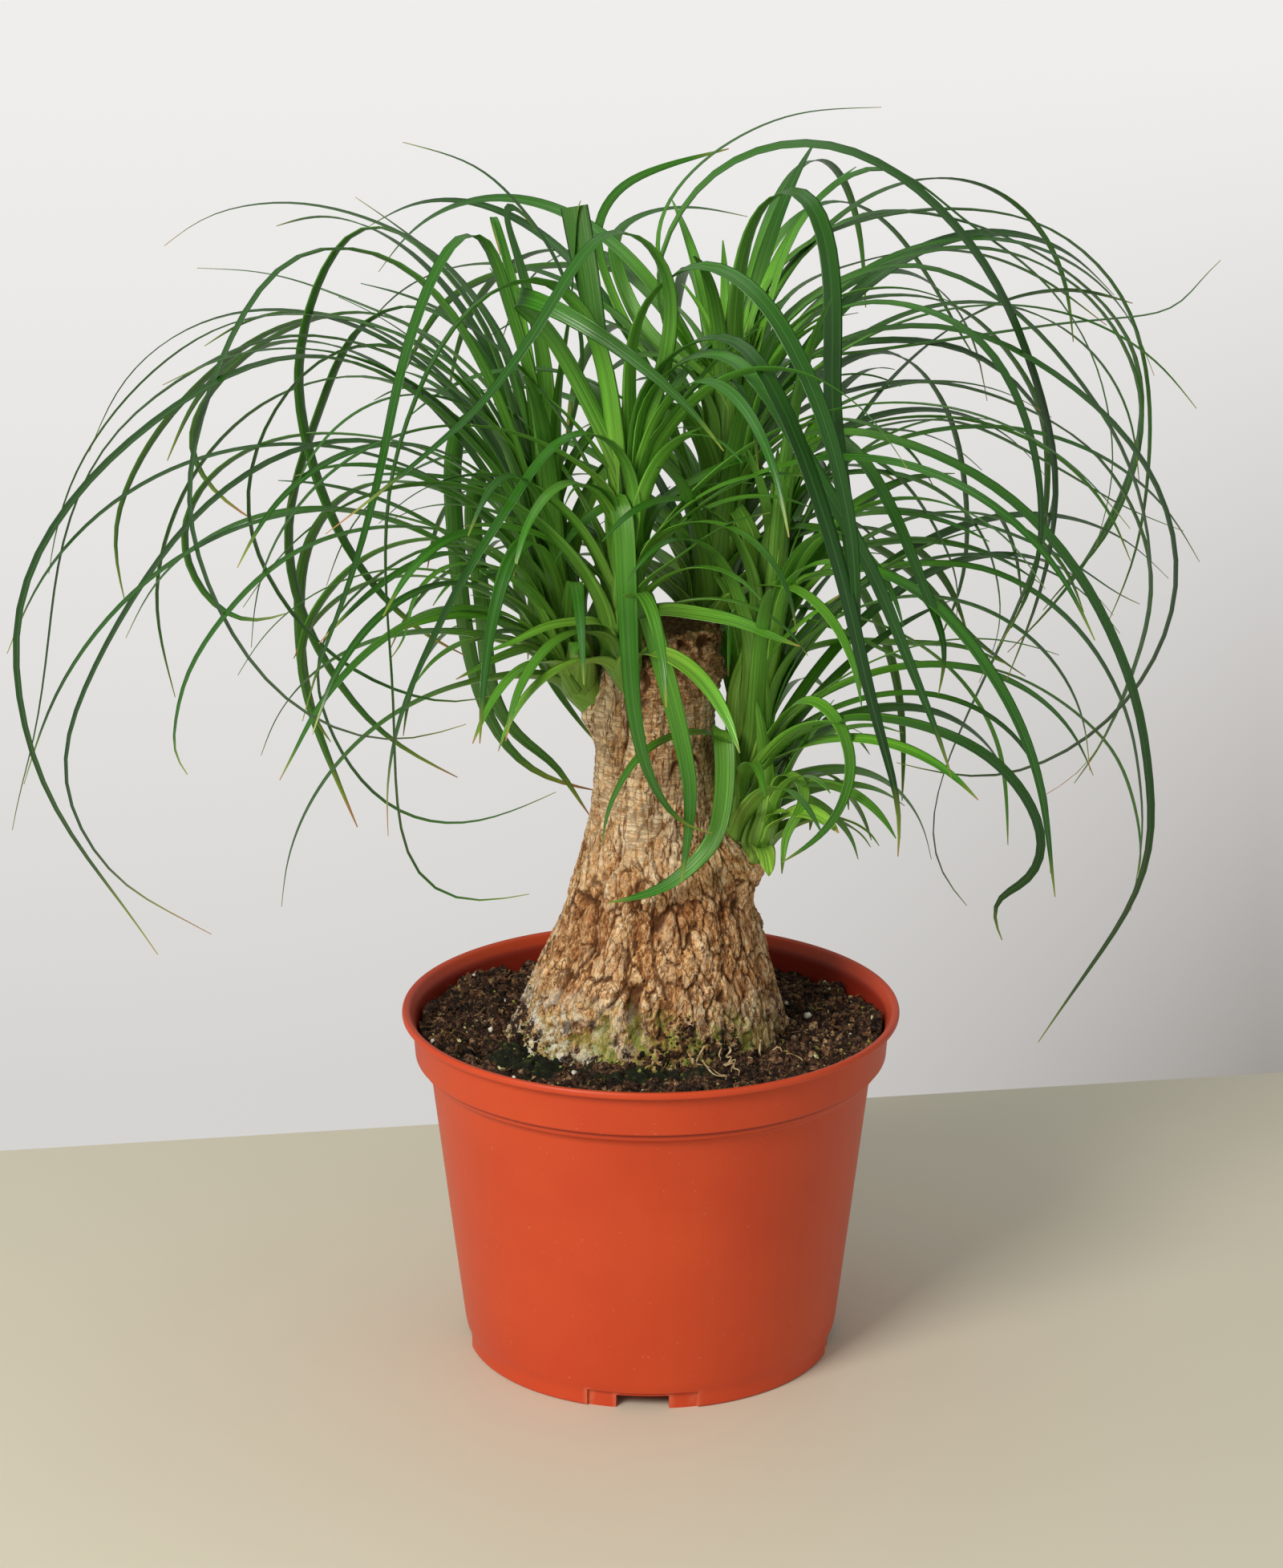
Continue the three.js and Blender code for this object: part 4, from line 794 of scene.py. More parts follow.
soil = {
    "level": 105.5, "frontRise": 6, "roughness": 1.6,
    "floor": 6.9, "gap": 1.9, "sides": 400, "step": 0.8,
    "innerRings": [15, 28], "fineFrom": 34,  # the rings under the trunk are few and plain
    "clod": 5.8, "clodHeight": 2.9, "crumb": 1.7, "crumbHeight": 1.1,
    "wallFrom": 66, "wallTo": 76, "wallRise": 2.5,
    # a heap at the back left, then the damp patches: middle, reach across and back, and how strong
    "heap": (-52, 38, 18, 16, 5), "damp": [(-40, -38, 20, 18, 1), (4, -52, 30, 6, 0.75)],
    "bareFrom": 42, "bareEdge": 1.6,
}

# what lies on the soil and clings to the trunk's foot, piece by piece: on which marked faces, spacing and
# sizes in mm, most to a square metre, largest tilt in radians, then its shapes: how many, their first
# seed, and how lumpy and flat they are, or the length and radius of a fibre
loose = {
    "soil_crumbs": {"where": "bare", "spacing": 1.1, "density": 480000, "smallest": 0.3, "largest": 1.7,
                    "tilt": 3.1, "seed": 3, "shapes": 4, "first": 90, "lumps": 0.9, "flat": 0.65,
                    "facets": True},
    "soil_fibres": {"where": "bare", "spacing": 1.3, "density": 200000, "smallest": 0.3, "largest": 1.3,
                    "tilt": 0.5, "seed": 7, "shapes": 5, "first": 40, "length": 6, "radius": 0.14},
    "soil_perlite": {"where": "bare", "spacing": 10, "density": 4600, "smallest": 0.45, "largest": 1.5,
                     "tilt": 3.1, "seed": 12, "shapes": 3, "first": 120, "lumps": 0.4, "flat": 0.8},
    "soil_moss": {"where": "mossy", "spacing": 2.2, "density": 90000, "smallest": 0.25, "largest": 0.9,
                  "tilt": 3.1, "seed": 19, "shapes": 3, "first": 150, "lumps": 0.7, "flat": 0.9},
    "foot_moss": {"where": "dirty", "spacing": 1.0, "density": 300000, "smallest": 0.25, "largest": 0.75,
                  "tilt": 3.1, "seed": 29, "shapes": 3, "first": 150, "lumps": 0.7, "flat": 0.9},
    "foot_crumbs": {"where": "dirty", "spacing": 1.0, "density": 320000, "smallest": 0.3, "largest": 1.3,
                    "tilt": 3.1, "seed": 31, "shapes": 3, "first": 90, "lumps": 0.55, "flat": 0.75},
    "soil_husks": {"where": "bare", "spacing": 2.7, "density": 60000, "smallest": 0.3, "largest": 1.3,
                   "tilt": 3.1, "seed": 23, "shapes": 3, "first": 180, "lumps": 0.8, "flat": 0.4,
                   "facets": True},
}


def moundAt(x, y, middleX, middleY, reachX, reachY, strength):
    return strength * np.exp(-(((x - middleX) / reachX) ** 2 + ((y - middleY) / reachY) ** 2))


def soilTopAt(x, y):
    front = soil["frontRise"] * np.clip(0.5 - y / 100, 0, 1)
    rough = np.sin(x * 0.23 + 1.7 * np.sin(y * 0.11)) * np.cos(y * 0.19 + x * 0.05)
    wall = smoothstep(soil["wallFrom"], soil["wallTo"], np.hypot(x, y)) * soil["wallRise"]
    return soil["level"] + front + soil["roughness"] * rough + wall + moundAt(x, y, *soil["heap"])


def clodsAt(x, y):
    # rounded clods with creases between them
    zero = np.zeros(x.shape)
    big = np.abs(layeredNoise(x / soil["clod"], y / soil["clod"], zero, 61, 2))
    small = np.abs(layeredNoise(x / soil["crumb"], y / soil["crumb"], zero, 71, 2))
    return soil["clodHeight"] * (big - 0.35) + soil["crumbHeight"] * (small - 0.35)


def algaeAt(x, y):
    # a dark green film on the damp side, in front of the trunk's left foot
    patch = np.max([moundAt(x, y, *place) for place in soil["damp"]], axis=0)
    ragged = layeredNoise(x / 6, y / 6, np.zeros(x.shape), 81, 3)
    return smoothstep(0.3, 0.62, patch + 0.35 * ragged)


def makeSoilBed(material):
    s = soil
    sides = s["sides"]
    turns = np.arange(sides) / sides * 2 * math.pi
    outer = pot["collarRadius"] - s["gap"] + 0.4
    radii = np.concatenate([s["innerRings"], np.arange(s["fineFrom"], outer - 0.3, s["step"]), [outer]])
    rows = []
    for r in radii:
        x, y = r * np.cos(turns), r * np.sin(turns)
        rough = clodsAt(x, y) if r >= s["fineFrom"] else 0
        rows.append(np.column_stack([x, y, soilTopAt(x, y) + rough]))
    top = len(rows)
    wall = [(outer, pot["collarBottom"] + 0.4), (bodyRadiusAt(pot["bodyTop"]) - s["gap"], pot["bodyTop"] - 1),
            (bodyRadiusAt(s["floor"] + 2) - s["gap"], s["floor"] + 2.5),
            (bodyRadiusAt(s["floor"] + 2) - s["gap"] - 2, s["floor"])]
    for r, z in wall:
        rows.append(np.column_stack([r * np.cos(turns), r * np.sin(turns), np.full(sides, z)]))
    points = np.vstack(rows + [[[0, 0, s["level"]]], [[0, 0, s["floor"]]]])
    first, last = len(points) - 2, len(points) - 1
    faces = ringFaces(len(rows), sides, first, last)
    x, y = points[:, 0], points[:, 1]
    away = np.hypot(x, y)
    onTop = np.zeros(len(points))
    onTop[:top * sides] = 1
    bare = onTop * (np.hypot(x + 1, y) > s["bareFrom"]) * (away < outer - s["bareEdge"])
    algae = algaeAt(x, y)
    values = {"algae": algae * onTop, "bare": bare * (algae < 0.6), "mossy": bare * (algae > 0.3)}
    made = meshObject("soil_bed", points, faces, values)
    faceOutwards(made.data)
    dress(made, material, ["soil"])
    return made


def roughStone(name, seed, lumps, flat, smooth):
    # a lumpy little stone one millimetre in radius, for scattering
    bm = bmesh.new()
    bmesh.ops.create_icosphere(bm, subdivisions=1, radius=1)
    for v in bm.verts:
        p = np.array([[v.co.x, v.co.y, v.co.z]])
        push = 1 + lumps * valueNoise(p[:, 0] * 1.7 + 9, p[:, 1] * 1.7, p[:, 2] * 1.7, seed)[0]
        v.co *= push * mm
        v.co.z *= flat
    mesh = bpy.data.meshes.new(name)
    bm.to_mesh(mesh)
    bm.free()
    if smooth:
        mesh.shade_smooth()
    return bpy.data.objects.new(name, mesh)


def bentFibre(name, seed, length, radius, steps=4):
    # a three-sided root hair that wanders, lying flat
    draw = drawsFrom(seed)
    heading, rise = 0.0, 0.0
    line = [np.zeros(3)]
    for _ in range(steps):
        heading += 1.5 * (draw() - 0.5)
        rise += 0.9 * (draw() - 0.5) - rise * 0.3
        line.append(line[-1] + length / steps * np.array([math.cos(heading), math.sin(heading), rise]))
    line = np.array(line) - np.mean(line, axis=0)
    rings = []
    for k, p in enumerate(line):
        ahead = line[min(k + 1, steps)] - line[max(k - 1, 0)]
        side = np.cross(ahead, [0, 0, 1])
        side /= np.linalg.norm(side)
        up = np.cross(side, ahead)
        up /= np.linalg.norm(up)
        thick = radius * (1 - 0.75 * k / steps)
        rings += [p + thick * (side * math.cos(t) + up * math.sin(t)) for t in (0.5, 2.6, 4.7)]
    faces = [[0, 1, 2], [3 * steps + 2, 3 * steps + 1, 3 * steps]]
    for k in range(steps):
        faces += [[3 * k + i, 3 * k + 3 + i, 3 * k + 3 + (i + 1) % 3, 3 * k + (i + 1) % 3] for i in range(3)]
    mesh = bpy.data.meshes.new(name)
    mesh.from_pydata((np.array(rings) * mm).tolist(), [], faces)
    faceOutwards(mesh)
    return bpy.data.objects.new(name, mesh)


def newGroup(name, sockets):
    # a Geometry Nodes tree with geometry in and out; sockets are (name, kind, start value) of its own inputs
    tree = bpy.data.node_groups.new(name, "GeometryNodeTree")
    for label, kind, start in [("Geometry", "Geometry", None)] + sockets:
        socket = tree.interface.new_socket(name=label, in_out="INPUT", socket_type="NodeSocket" + kind)
        if start is not None:
            socket.default_value = start
    tree.interface.new_socket(name="Geometry", in_out="OUTPUT", socket_type="NodeSocketGeometry")
    return tree, addNode(tree, "NodeGroupInput").outputs


def giveInputs(modifier, values):
    # a modifier's inputs are set by their identifiers, before its object is first evaluated
    for item in modifier.node_group.interface.items_tree:
        if item.item_type == "SOCKET" and item.in_out == "INPUT" and item.name in values:
            modifier[item.identifier] = values[item.name]


def scatterTree():
    # lies small shapes on the chosen faces, each turned and sized by its own draw
    tree, given = newGroup("scatterOnSoil", [
        ("Shapes", "Collection", None), ("Where", "String", "bare"), ("Spacing", "Float", 0.002),
        ("Density", "Float", 1000.0), ("Smallest", "Float", 0.5), ("Largest", "Float", 1.5),
        ("Tilt", "Float", 3.0), ("Seed", "Int", 1), ("Material", "Material", None)])
    chosen = addNode(tree, "GeometryNodeInputNamedAttribute", {"Name": given["Where"]}, data_type="FLOAT")
    here = addNode(tree, "FunctionNodeCompare", {0: chosen, 1: 0.5},
                   data_type="FLOAT", operation="GREATER_THAN")
    spread = addNode(tree, "GeometryNodeDistributePointsOnFaces",
                     {"Mesh": given["Geometry"], "Selection": here, "Distance Min": given["Spacing"],
                      "Density Max": given["Density"], "Seed": given["Seed"]}, distribute_method="POISSON")
    shapes = addNode(tree, "GeometryNodeCollectionInfo",
                     {"Collection": given["Shapes"], "Separate Children": True, "Reset Children": True})
    low = addNode(tree, "CombineXYZ", {0: -0.15, 1: -0.15, 2: 0})
    high = addNode(tree, "CombineXYZ", {0: given["Tilt"], 1: given["Tilt"], 2: 6.28})
    turn = addNode(tree, "FunctionNodeRandomValue", {0: low, 1: high, 8: given["Seed"]},
                   data_type="FLOAT_VECTOR")
    draw = addNode(tree, "FunctionNodeRandomValue", {8: given["Seed"]}, data_type="FLOAT")
    # many small ones to each large one
    skew = addNode(tree, "Math", {0: draw, 1: 2.4}, operation="POWER")
    size = addNode(tree, "MapRange", {"Value": skew, "To Min": given["Smallest"], "To Max": given["Largest"]})
    placed = addNode(tree, "GeometryNodeInstanceOnPoints",
                     {"Points": spread, "Instance": shapes, "Pick Instance": True, "Rotation": turn,
                      "Scale": size})
    tone = addNode(tree, "FunctionNodeRandomValue", {2: 0.15, 3: 0.75, 8: 77}, data_type="FLOAT")
    marked = addNode(tree, "GeometryNodeStoreNamedAttribute",
                     {"Geometry": placed, "Name": "tone", "Value": tone},
                     data_type="FLOAT", domain="INSTANCE")
    real = addNode(tree, "GeometryNodeRealizeInstances", {"Geometry": marked})
    shown = addNode(tree, "GeometryNodeSetMaterial", {"Geometry": real, "Material": given["Material"]})
    addNode(tree, "NodeGroupOutput", {"Geometry": shown})
    return tree


def scatterOn(ground, tree, name, material):
    s = loose[name]
    if "length" in s:
        shapes = [bentFibre(f"{name}{k}", s["first"] + k, s["length"] + k, s["radius"])
                  for k in range(s["shapes"])]
    else:
        shapes = [roughStone(f"{name}{k}", s["first"] + k, s["lumps"], s["flat"], "facets" not in s)
                  for k in range(s["shapes"])]
    chosen = bpy.data.collections.new(name + "Shapes")
    for shape in shapes:
        chosen.objects.link(shape)
    sown = placeObject(name + "Ground", ground.data.copy())
    spread = sown.modifiers.new("scatter", "NODES")
    spread.node_group = tree
    giveInputs(spread, {"Shapes": chosen, "Where": s["where"], "Spacing": s["spacing"] * mm,
                        "Density": float(s["density"]), "Smallest": s["smallest"], "Largest": s["largest"],
                        "Tilt": s["tilt"], "Seed": s["seed"], "Material": material})
    made = bakedCopy(sown, name)
    for shape in shapes:
        bpy.data.objects.remove(shape)
    bpy.data.collections.remove(chosen)
    dress(made, material)


def dampPeat():
    # damp peat and bark fines: nearly black to red-brown grain by grain, green with algae
    material, tree = newMaterial("peatDampCrumbled")
    where = addNode(tree, "TexCoord").outputs["Object"]
    grains = addNode(tree, "TexNoise", {"Vector": where, "Scale": 520, "Detail": 6, "Roughness": 0.7})
    body = addNode(tree, "ValToRGB", {0: grains})
    setStops(body, [(0.38, "#120A05"), (0.5, "#34231A"), (0.6, "#7C5C42"), (0.72, "#C4A47A")])
    algae = addNode(tree, "Attribute", attribute_name="algae").outputs["Fac"]
    film = addNode(tree, "TexNoise", {"Vector": where, "Scale": 330, "Detail": 4, "Roughness": 0.7})
    green = addNode(tree, "ValToRGB", {0: film})
    setStops(green, [(0.36, "#101109"), (0.55, "#1D2410"), (0.74, "#46521F")])
    tinted = addNode(tree, "Mix", {0: algae, 6: body, 7: green}, data_type="RGBA")
    pits = addNode(tree, "TexNoise", {"Vector": where, "Scale": 800, "Detail": 5, "Roughness": 0.75})
    bump = addNode(tree, "Bump", {"Height": pits, "Strength": 0.9, "Distance": 0.0012})
    shader = addNode(tree, "BsdfPrincipled",
                     {"Base Color": tinted, "Roughness": 0.9, "Normal": bump, "Specular IOR Level": 0.3})
    finishMaterial(tree, shader)
    return material


def scatteredMatter(name, stops, roughness, scale, bumpMm):
    # small loose matter: each piece has its own tone, with a pitted surface
    material, tree = newMaterial(name)
    place = addNode(tree, "TexCoord").outputs["Object"]
    tone = addNode(tree, "Attribute", attribute_name="tone").outputs["Fac"]
    fleck = addNode(tree, "TexNoise", {"Vector": place, "Scale": scale, "Detail": 4})
    mixed = addNode(tree, "Math", {0: fleck, 1: 0.9, 2: tone}, operation="MULTIPLY_ADD")
    # darker and paler patches of it, about 15 mm across
    patch = addNode(tree, "TexNoise", {"Vector": place, "Scale": 65, "Detail": 2})
    patched = addNode(tree, "Math", {0: patch, 1: 1.2, 2: mixed}, operation="MULTIPLY_ADD")
    middled = addNode(tree, "Math", {0: patched, 1: 1.02}, operation="SUBTRACT")
    body = addNode(tree, "ValToRGB", {0: middled})
    setStops(body, stops)
    bump = addNode(tree, "Bump", {"Height": fleck, "Strength": 0.8, "Distance": bumpMm * mm})
    shader = addNode(tree, "BsdfPrincipled",
                     {"Base Color": body, "Roughness": roughness, "Normal": bump, "Specular IOR Level": 0.3})
    finishMaterial(tree, shader)
    return material


def makeSoil():
    bed = makeSoilBed(dampPeat())
    tree = scatterTree()
    crumbs = scatteredMatter("peatCrumbsLoose", [(0.15, "#120B06"), (0.5, "#3A271B"), (0.76, "#7C583C"),
                                                 (0.98, "#CDAE84")], 0.9, 1300, 1.5)
    fibres = scatteredMatter("peatFibresDry", [(0.1, "#3A2115"), (0.6, "#774C31"), (0.95, "#B28F66")],
                             0.8, 400, 0.3)
    # expanded perlite: chalk white, pitted
    perlite = scatteredMatter("perliteExpanded", [(0.1, "#CFC9B8"), (0.9, "#F1EDE2")], 0.75, 900, 0.5)
    moss = scatteredMatter("mossLiving", [(0.2, "#202A0D"), (0.55, "#505F20"), (0.95, "#B2BC60")],
                           0.75, 900, 0.5)
    # bits of husk and leaf gone yellow-green
    husks = scatteredMatter("huskBitsDry", [(0.1, "#6E6A2C"), (0.5, "#A3A04C"), (0.9, "#DCDCA8")],
                            0.8, 900, 0.4)
    for name, material in (("soil_crumbs", crumbs), ("soil_fibres", fibres), ("soil_perlite", perlite),
                           ("soil_moss", moss), ("foot_moss", moss), ("foot_crumbs", crumbs),
                           ("soil_husks", husks)):
        scatterOn(trunkPiece if name.startswith("foot") else bed, tree, name, material)
    print("soil: bed, crumbs, fibres, perlite, husks and moss")


makeSoil()


# Shoots: a stem is rows of [x, y, z, radius], and fill gives the turns and lengths of the leaves that a
# rule places. The others are read from the front: (place up the stem from 0 to 1, width, how far back the
# tip lies, twist in degrees, course as seen in pairs of across and height)
shoots = [
    {
        "name": "head_left",
        "stem": [[-21, -2, 224, 6.5], [-25, -4, 233, 8], [-27, -5, 246, 7.5],
                 [-30, -5, 268, 5.5], [-33, -5, 290, 3.5]],
        "fill": {"count": 16, "from": 75, "to": 290, "long": 190, "short": 90},
        "leaves": [
            (0.8, 6.6, -95, 10, [-45, 310, -56, 336, -70, 357, -88, 368, -112, 367.5, -130, 344, -142, 315,
             -148, 285, -138, 250, -120, 223, -96, 209, -76, 208, -60, 214]),
            (0.9, 6.5, 35, 25, [-50, 338, -66, 362, -86, 378, -101, 364, -110, 338, -111, 318, -104, 288,
             -92, 264, -75, 245, -60, 237]),
            (0.7, 5, 70, 15, [-46, 318, -56, 340, -74, 352, -93, 343, -104, 318, -114, 290, -116, 268,
             -108, 240, -88, 211, -63, 196]),
            (0.6, 6.2, -130, 0, [-42, 285, -62, 312, -90, 332, -115, 334.5, -140, 325, -170, 303, -190, 281,
             -203, 256, -205, 226, -198, 192, -182, 164, -171, 149, -163, 135]),
            (0.65, 5.6, -60, 20, [-45, 305, -65, 326, -90, 338, -115, 341.5, -142, 331, -172, 308, -188, 275,
             -195, 235, -201, 205, -209, 184, -209, 178]),
            (0.75, 3.2, 40, 0, [-48, 315, -72, 338, -105, 347.5, -135, 344, -162, 325, -182, 299, -191, 275,
             -193, 264]),
            (0.95, 3.4, 60, 0, [-45, 315, -66, 338, -90, 350, -118, 360, -142, 362]),
            (0.5, 4, 95, 20, [-44, 300, -66, 332, -95, 347, -122, 341, -147, 321, -163, 300, -172, 277,
             -169, 255]),
            (0.55, 3.6, 120, 20, [-42, 296, -64, 334, -88, 348.5, -118, 341, -140, 322, -147, 304, -137, 288,
             -126, 281]),
            (0.6, 3.4, 65, 0, [-50, 302, -70, 320, -91, 328.5, -120, 321, -143, 300, -156, 273, -159, 250,
             -154, 223]),
            (0.7, 6.8, -40, 30, [-50, 314, -68, 332, -88, 339, -108, 331, -124, 308, -129, 283, -120, 258,
             -103, 237, -82, 225, -62, 220, -50, 224]),
            (0.35, 6, -85, 0, [-40, 272, -58, 294, -84, 307, -112, 305, -140, 288, -162, 262, -182, 228,
             -192, 200, -186, 176, -172, 157, -155, 148.5, -145, 142]),
            (0.4, 4.6, 50, 20, [-44, 282, -66, 302, -92, 309, -118, 308, -140, 296, -150, 276, -143, 256,
             -130, 247, -117, 251]),
            (0.25, 5, -110, 10, [-40, 262, -62, 277, -88, 279, -112, 272, -132, 256, -150, 231, -155, 209,
             -157, 203, -151, 197]),
            (0.3, 5, 90, 30, [-42, 268, -60, 288, -82, 294.5, -100, 288, -111, 270, -113, 245, -111, 222,
             -104, 200, -96, 179]),
            (0.2, 5.6, 30, 30, [-42, 262, -64, 275, -88, 271, -105, 256, -113, 238, -110, 218, -104, 208]),
            (0.3, 5.2, -30, 20, [-42, 265, -66, 274, -88, 263, -104, 246, -108, 226, -98, 200, -82, 184,
             -62, 180, -44, 185, -31, 191]),
            (0.15, 5, -70, 0, [-38, 255, -60, 270, -76, 267, -92, 256, -107, 241]),
            (0.1, 5.2, -60, 0, [-36, 243, -52, 252, -72, 250, -90, 239, -106, 222, -115, 206, -121, 195]),
            (0.2, 4.8, -30, 0, [-36, 256, -50, 266, -66, 266, -76, 256, -79, 243, -84, 236]),
            (0.15, 4.2, -15, 0, [-36, 255, -47, 264, -58, 260, -64, 261, -70, 259]),
            (0.1, 4.6, 20, 0, [-36, 248, -46, 254, -58, 257]),
            (0.05, 4.4, -20, 0, [-34, 240, -43, 244.5, -52, 244, -60, 241]),
            (0.05, 4.6, -35, 0, [-36, 238, -46, 237, -55, 233, -63, 229]),
            (0.5, 7, 60, 50, [-40, 288, -49, 309, -57, 318, -63, 303, -62, 270, -59, 240, -52, 214, -38, 197,
             -18, 191.5]),
            (0.35, 6.6, 45, 50, [-38, 272, -46, 292, -53, 300, -57, 284, -54, 255, -52, 226, -44, 210,
             -31, 201, -26, 192, -20, 183]),
            (0.2, 3.2, 75, 0, [-38, 262, -43, 266, -40, 248, -33, 230, -24, 216, -17, 207]),
            (1, 4, 30, 0, [-38, 325, -42, 350, -48, 375, -50, 380, -47, 366]),
            (1, 6.6, 50, 60, [-34, 330, -40, 358, -46, 380, -42, 381, -36, 374]),
            (0.98, 6.8, -10, 80, [-29, 320, -25, 350, -23, 381, -22, 383]),
            (0.9, 5.8, -75, 20, [-36, 316, -45, 350, -54, 376, -66, 364, -78, 332, -86, 296, -96, 262,
             -108, 232, -113, 215]),
            (0.85, 2.6, 20, 0, [-22, 330, -28, 360, -40, 380, -55, 394, -77, 401]),
            (0.8, 4.8, 15, 0, [-42, 328, -62, 361, -85, 376, -112, 382.5, -137, 379, -152, 369]),
            (0.75, 4.8, 110, 20, [-44, 330, -60, 358, -78, 374, -92, 384]),
        ],
    },
    {
        "name": "head_front",
        "stem": [[-8, -18, 234, 5], [-10, -21, 243, 6.5], [-9, -22, 258, 6],
                 [-8, -22, 280, 5], [-8, -22, 302, 3.5]],
        "fill": {"count": 8, "from": 190, "to": 370, "long": 100, "short": 60},
        "leaves": [
            (0.9, 8, -75, 35, [-13, 318, -18, 342, -27, 356, -39, 360.5, -52, 354, -65, 340, -76, 316,
             -83, 294, -85, 262, -83, 225, -83, 190, -80, 166, -70, 154, -55, 152.5, -40, 156]),
            (1, 6.4, -80, 30, [2, 325, 6, 350, 2, 366, -10, 375, -21, 367, -34, 345, -52, 320, -72, 302,
             -92, 286, -104, 277]),
            (0.4, 7, -50, 20, [-6, 282, -8, 300, -14, 308, -22, 311, -32, 305, -46, 284, -60, 262, -72, 238,
             -81, 217, -86, 194, -86, 176]),
            (0.35, 8, -22, 70, [-12, 280, -12, 291, -9, 286, -8, 268, -7, 245, -6, 225, -3, 205, 3, 189,
             12, 178.5, 20, 177]),
            (0.2, 6.6, -20, 60, [-6, 256, -4, 259, 0, 247, 5, 229, 10, 209, 13, 192, 12, 174, 10, 160]),
            (0.1, 5.4, -22, 0, [-15, 246, -24, 247.5, -34, 246, -45, 241, -55, 237.5]),
            (0.3, 6.6, 45, 10, [-13, 268, -22, 281, -28, 284, -27, 276]),
            (0.45, 5.6, -18, 0, [-12, 284, -17, 292, -24, 293, -28, 285]),
            (0.5, 6.6, 20, 15, [0, 282, 12, 293, 28, 301, 34, 300, 42, 288, 48, 270, 48, 255]),
            (0.35, 6, -25, 15, [-3, 268, 8, 283, 22, 292.5, 38, 296.5, 55, 295]),
            (0.25, 5.8, -30, 15, [-3, 258, 10, 270, 24, 280, 38, 284]),
            (0.15, 6.2, -26, 30, [-4, 248, 4, 251.5, 15, 250.5, 28, 248, 40, 243, 48, 240]),
            (0.95, 7.4, -70, 30, [-6, 335, 0, 353, 12, 363.5, 24, 361, 36, 351, 46, 334, 54, 316, 60, 296,
             65, 270, 66, 245, 70, 222]),
            (0.8, 6.4, -80, 25, [-4, 318, 6, 334, 18, 341, 29, 339, 38, 325, 46, 308, 54, 286, 63, 256,
             69, 230, 76, 205, 82, 183, 81, 169]),
            (0.7, 7, -62, 20, [-3, 315, 5, 329, 17, 336, 28, 333, 38, 320, 48, 303, 60, 284, 72, 262,
             83, 235, 93, 211, 98, 196]),
            (0.95, 6.8, -55, 45, [-30, 340, -44, 353, -36, 352, -22, 345, -6, 334, 8, 322, 18, 311, 23, 304]),
            (0.6, 5, -40, 10, [-2, 300, 6, 314, 16, 326, 26, 328, 32, 314, 34, 298]),
        ],
    },
    {
        "name": "head_back",
        "stem": [[17, 11, 240, 6], [20, 14, 256, 8], [22, 14, 280, 7],
                 [24, 14, 308, 5.5], [25, 14, 330, 3.8]],
        "fill": {"count": 20, "from": -5, "to": 185, "long": 215, "short": 110},
        "leaves": [
            (0.9, 7.6, -20, 30, [8, 335, 1, 358, 8, 378, 22, 394, 48, 401.5, 72, 394, 92, 378, 108, 357,
             121, 327, 129, 295, 126, 262, 119, 240, 115, 229]),
            (0.85, 2.6, 30, 0, [8, 345, 2, 372, 10, 389, 26, 402, 46, 410, 71, 411.7]),
            (0.95, 2.8, 50, 0, [-2, 335, -17, 368, -12, 385, 2, 393, 24, 399]),
            (0.9, 4.2, 70, 15, [0, 340, -12, 368, -4, 378, 12, 381, 30, 378]),
            (1, 7.4, -60, 50, [27, 350, 31, 374, 40, 387, 49, 385, 55, 369, 57, 345, 57, 318, 62, 285,
             66, 250, 68, 226]),
            (0.9, 4.4, 60, 10, [34, 355, 52, 372, 76, 379, 100, 380.3, 124, 375, 146, 356, 156, 330,
             158, 300, 155, 270, 147, 248]),
            (0.85, 5, 95, 20, [38, 355, 60, 377, 84, 379.5, 110, 372, 134, 358, 152, 337, 155, 308, 146, 281,
             132, 257, 115, 238]),
            (0.8, 5, 30, 20, [44, 372, 60, 390, 75, 394, 98, 376, 122, 359, 138, 337, 145, 315, 147, 295,
             142, 272]),
            (0.75, 5, 70, 10, [40, 345, 66, 361, 96, 368.7, 121, 364, 142, 348, 155, 322, 153, 296, 143, 272,
             133, 262, 126, 252]),
            (0.7, 3, 110, 0, [40, 350, 66, 364, 95, 367.5, 120, 360, 143, 344]),
            (0.6, 5.6, -20, 10, [38, 340, 60, 358, 82, 364, 110, 352, 132, 330, 151, 302, 160, 270, 159, 243,
             152, 219, 140, 196, 127, 189]),
            (0.55, 7, 40, 30, [40, 328, 62, 338, 94, 338, 114, 327, 128, 308, 128, 285, 117, 252, 105, 224,
             95, 198, 91, 177, 95, 161, 104, 152]),
            (0.65, 5.4, 15, 0, [38, 330, 66, 335, 96, 339.5, 130, 344.5, 164, 348.5, 171, 358, 178, 364.5]),
            (0.5, 6.2, -45, 15, [38, 322, 62, 341, 98, 343, 128, 328, 152, 307, 165, 284, 169, 262, 165, 241,
             153, 220, 136, 205, 110, 195, 80, 201]),
            (0.45, 5.2, 60, 10, [38, 310, 62, 323, 92, 326, 124, 315, 145, 299, 159, 272, 160, 250, 154, 227,
             146, 206, 138, 194]),
            (0.6, 4, 100, 0, [40, 338, 64, 352, 92, 352, 110, 338, 123, 318, 126, 296, 124, 268, 116, 246]),
            (0.55, 4.6, -60, 20, [38, 332, 60, 350, 82, 350, 103, 340, 117, 318, 124, 290, 123, 262,
             112, 240]),
            (0.35, 4.2, 80, 10, [38, 295, 60, 308, 94, 314, 126, 300, 150, 286, 170, 278]),
            (0.95, 4, 120, 20, [30, 350, 40, 372, 56, 383, 72, 377, 86, 360, 99, 338, 104, 331]),
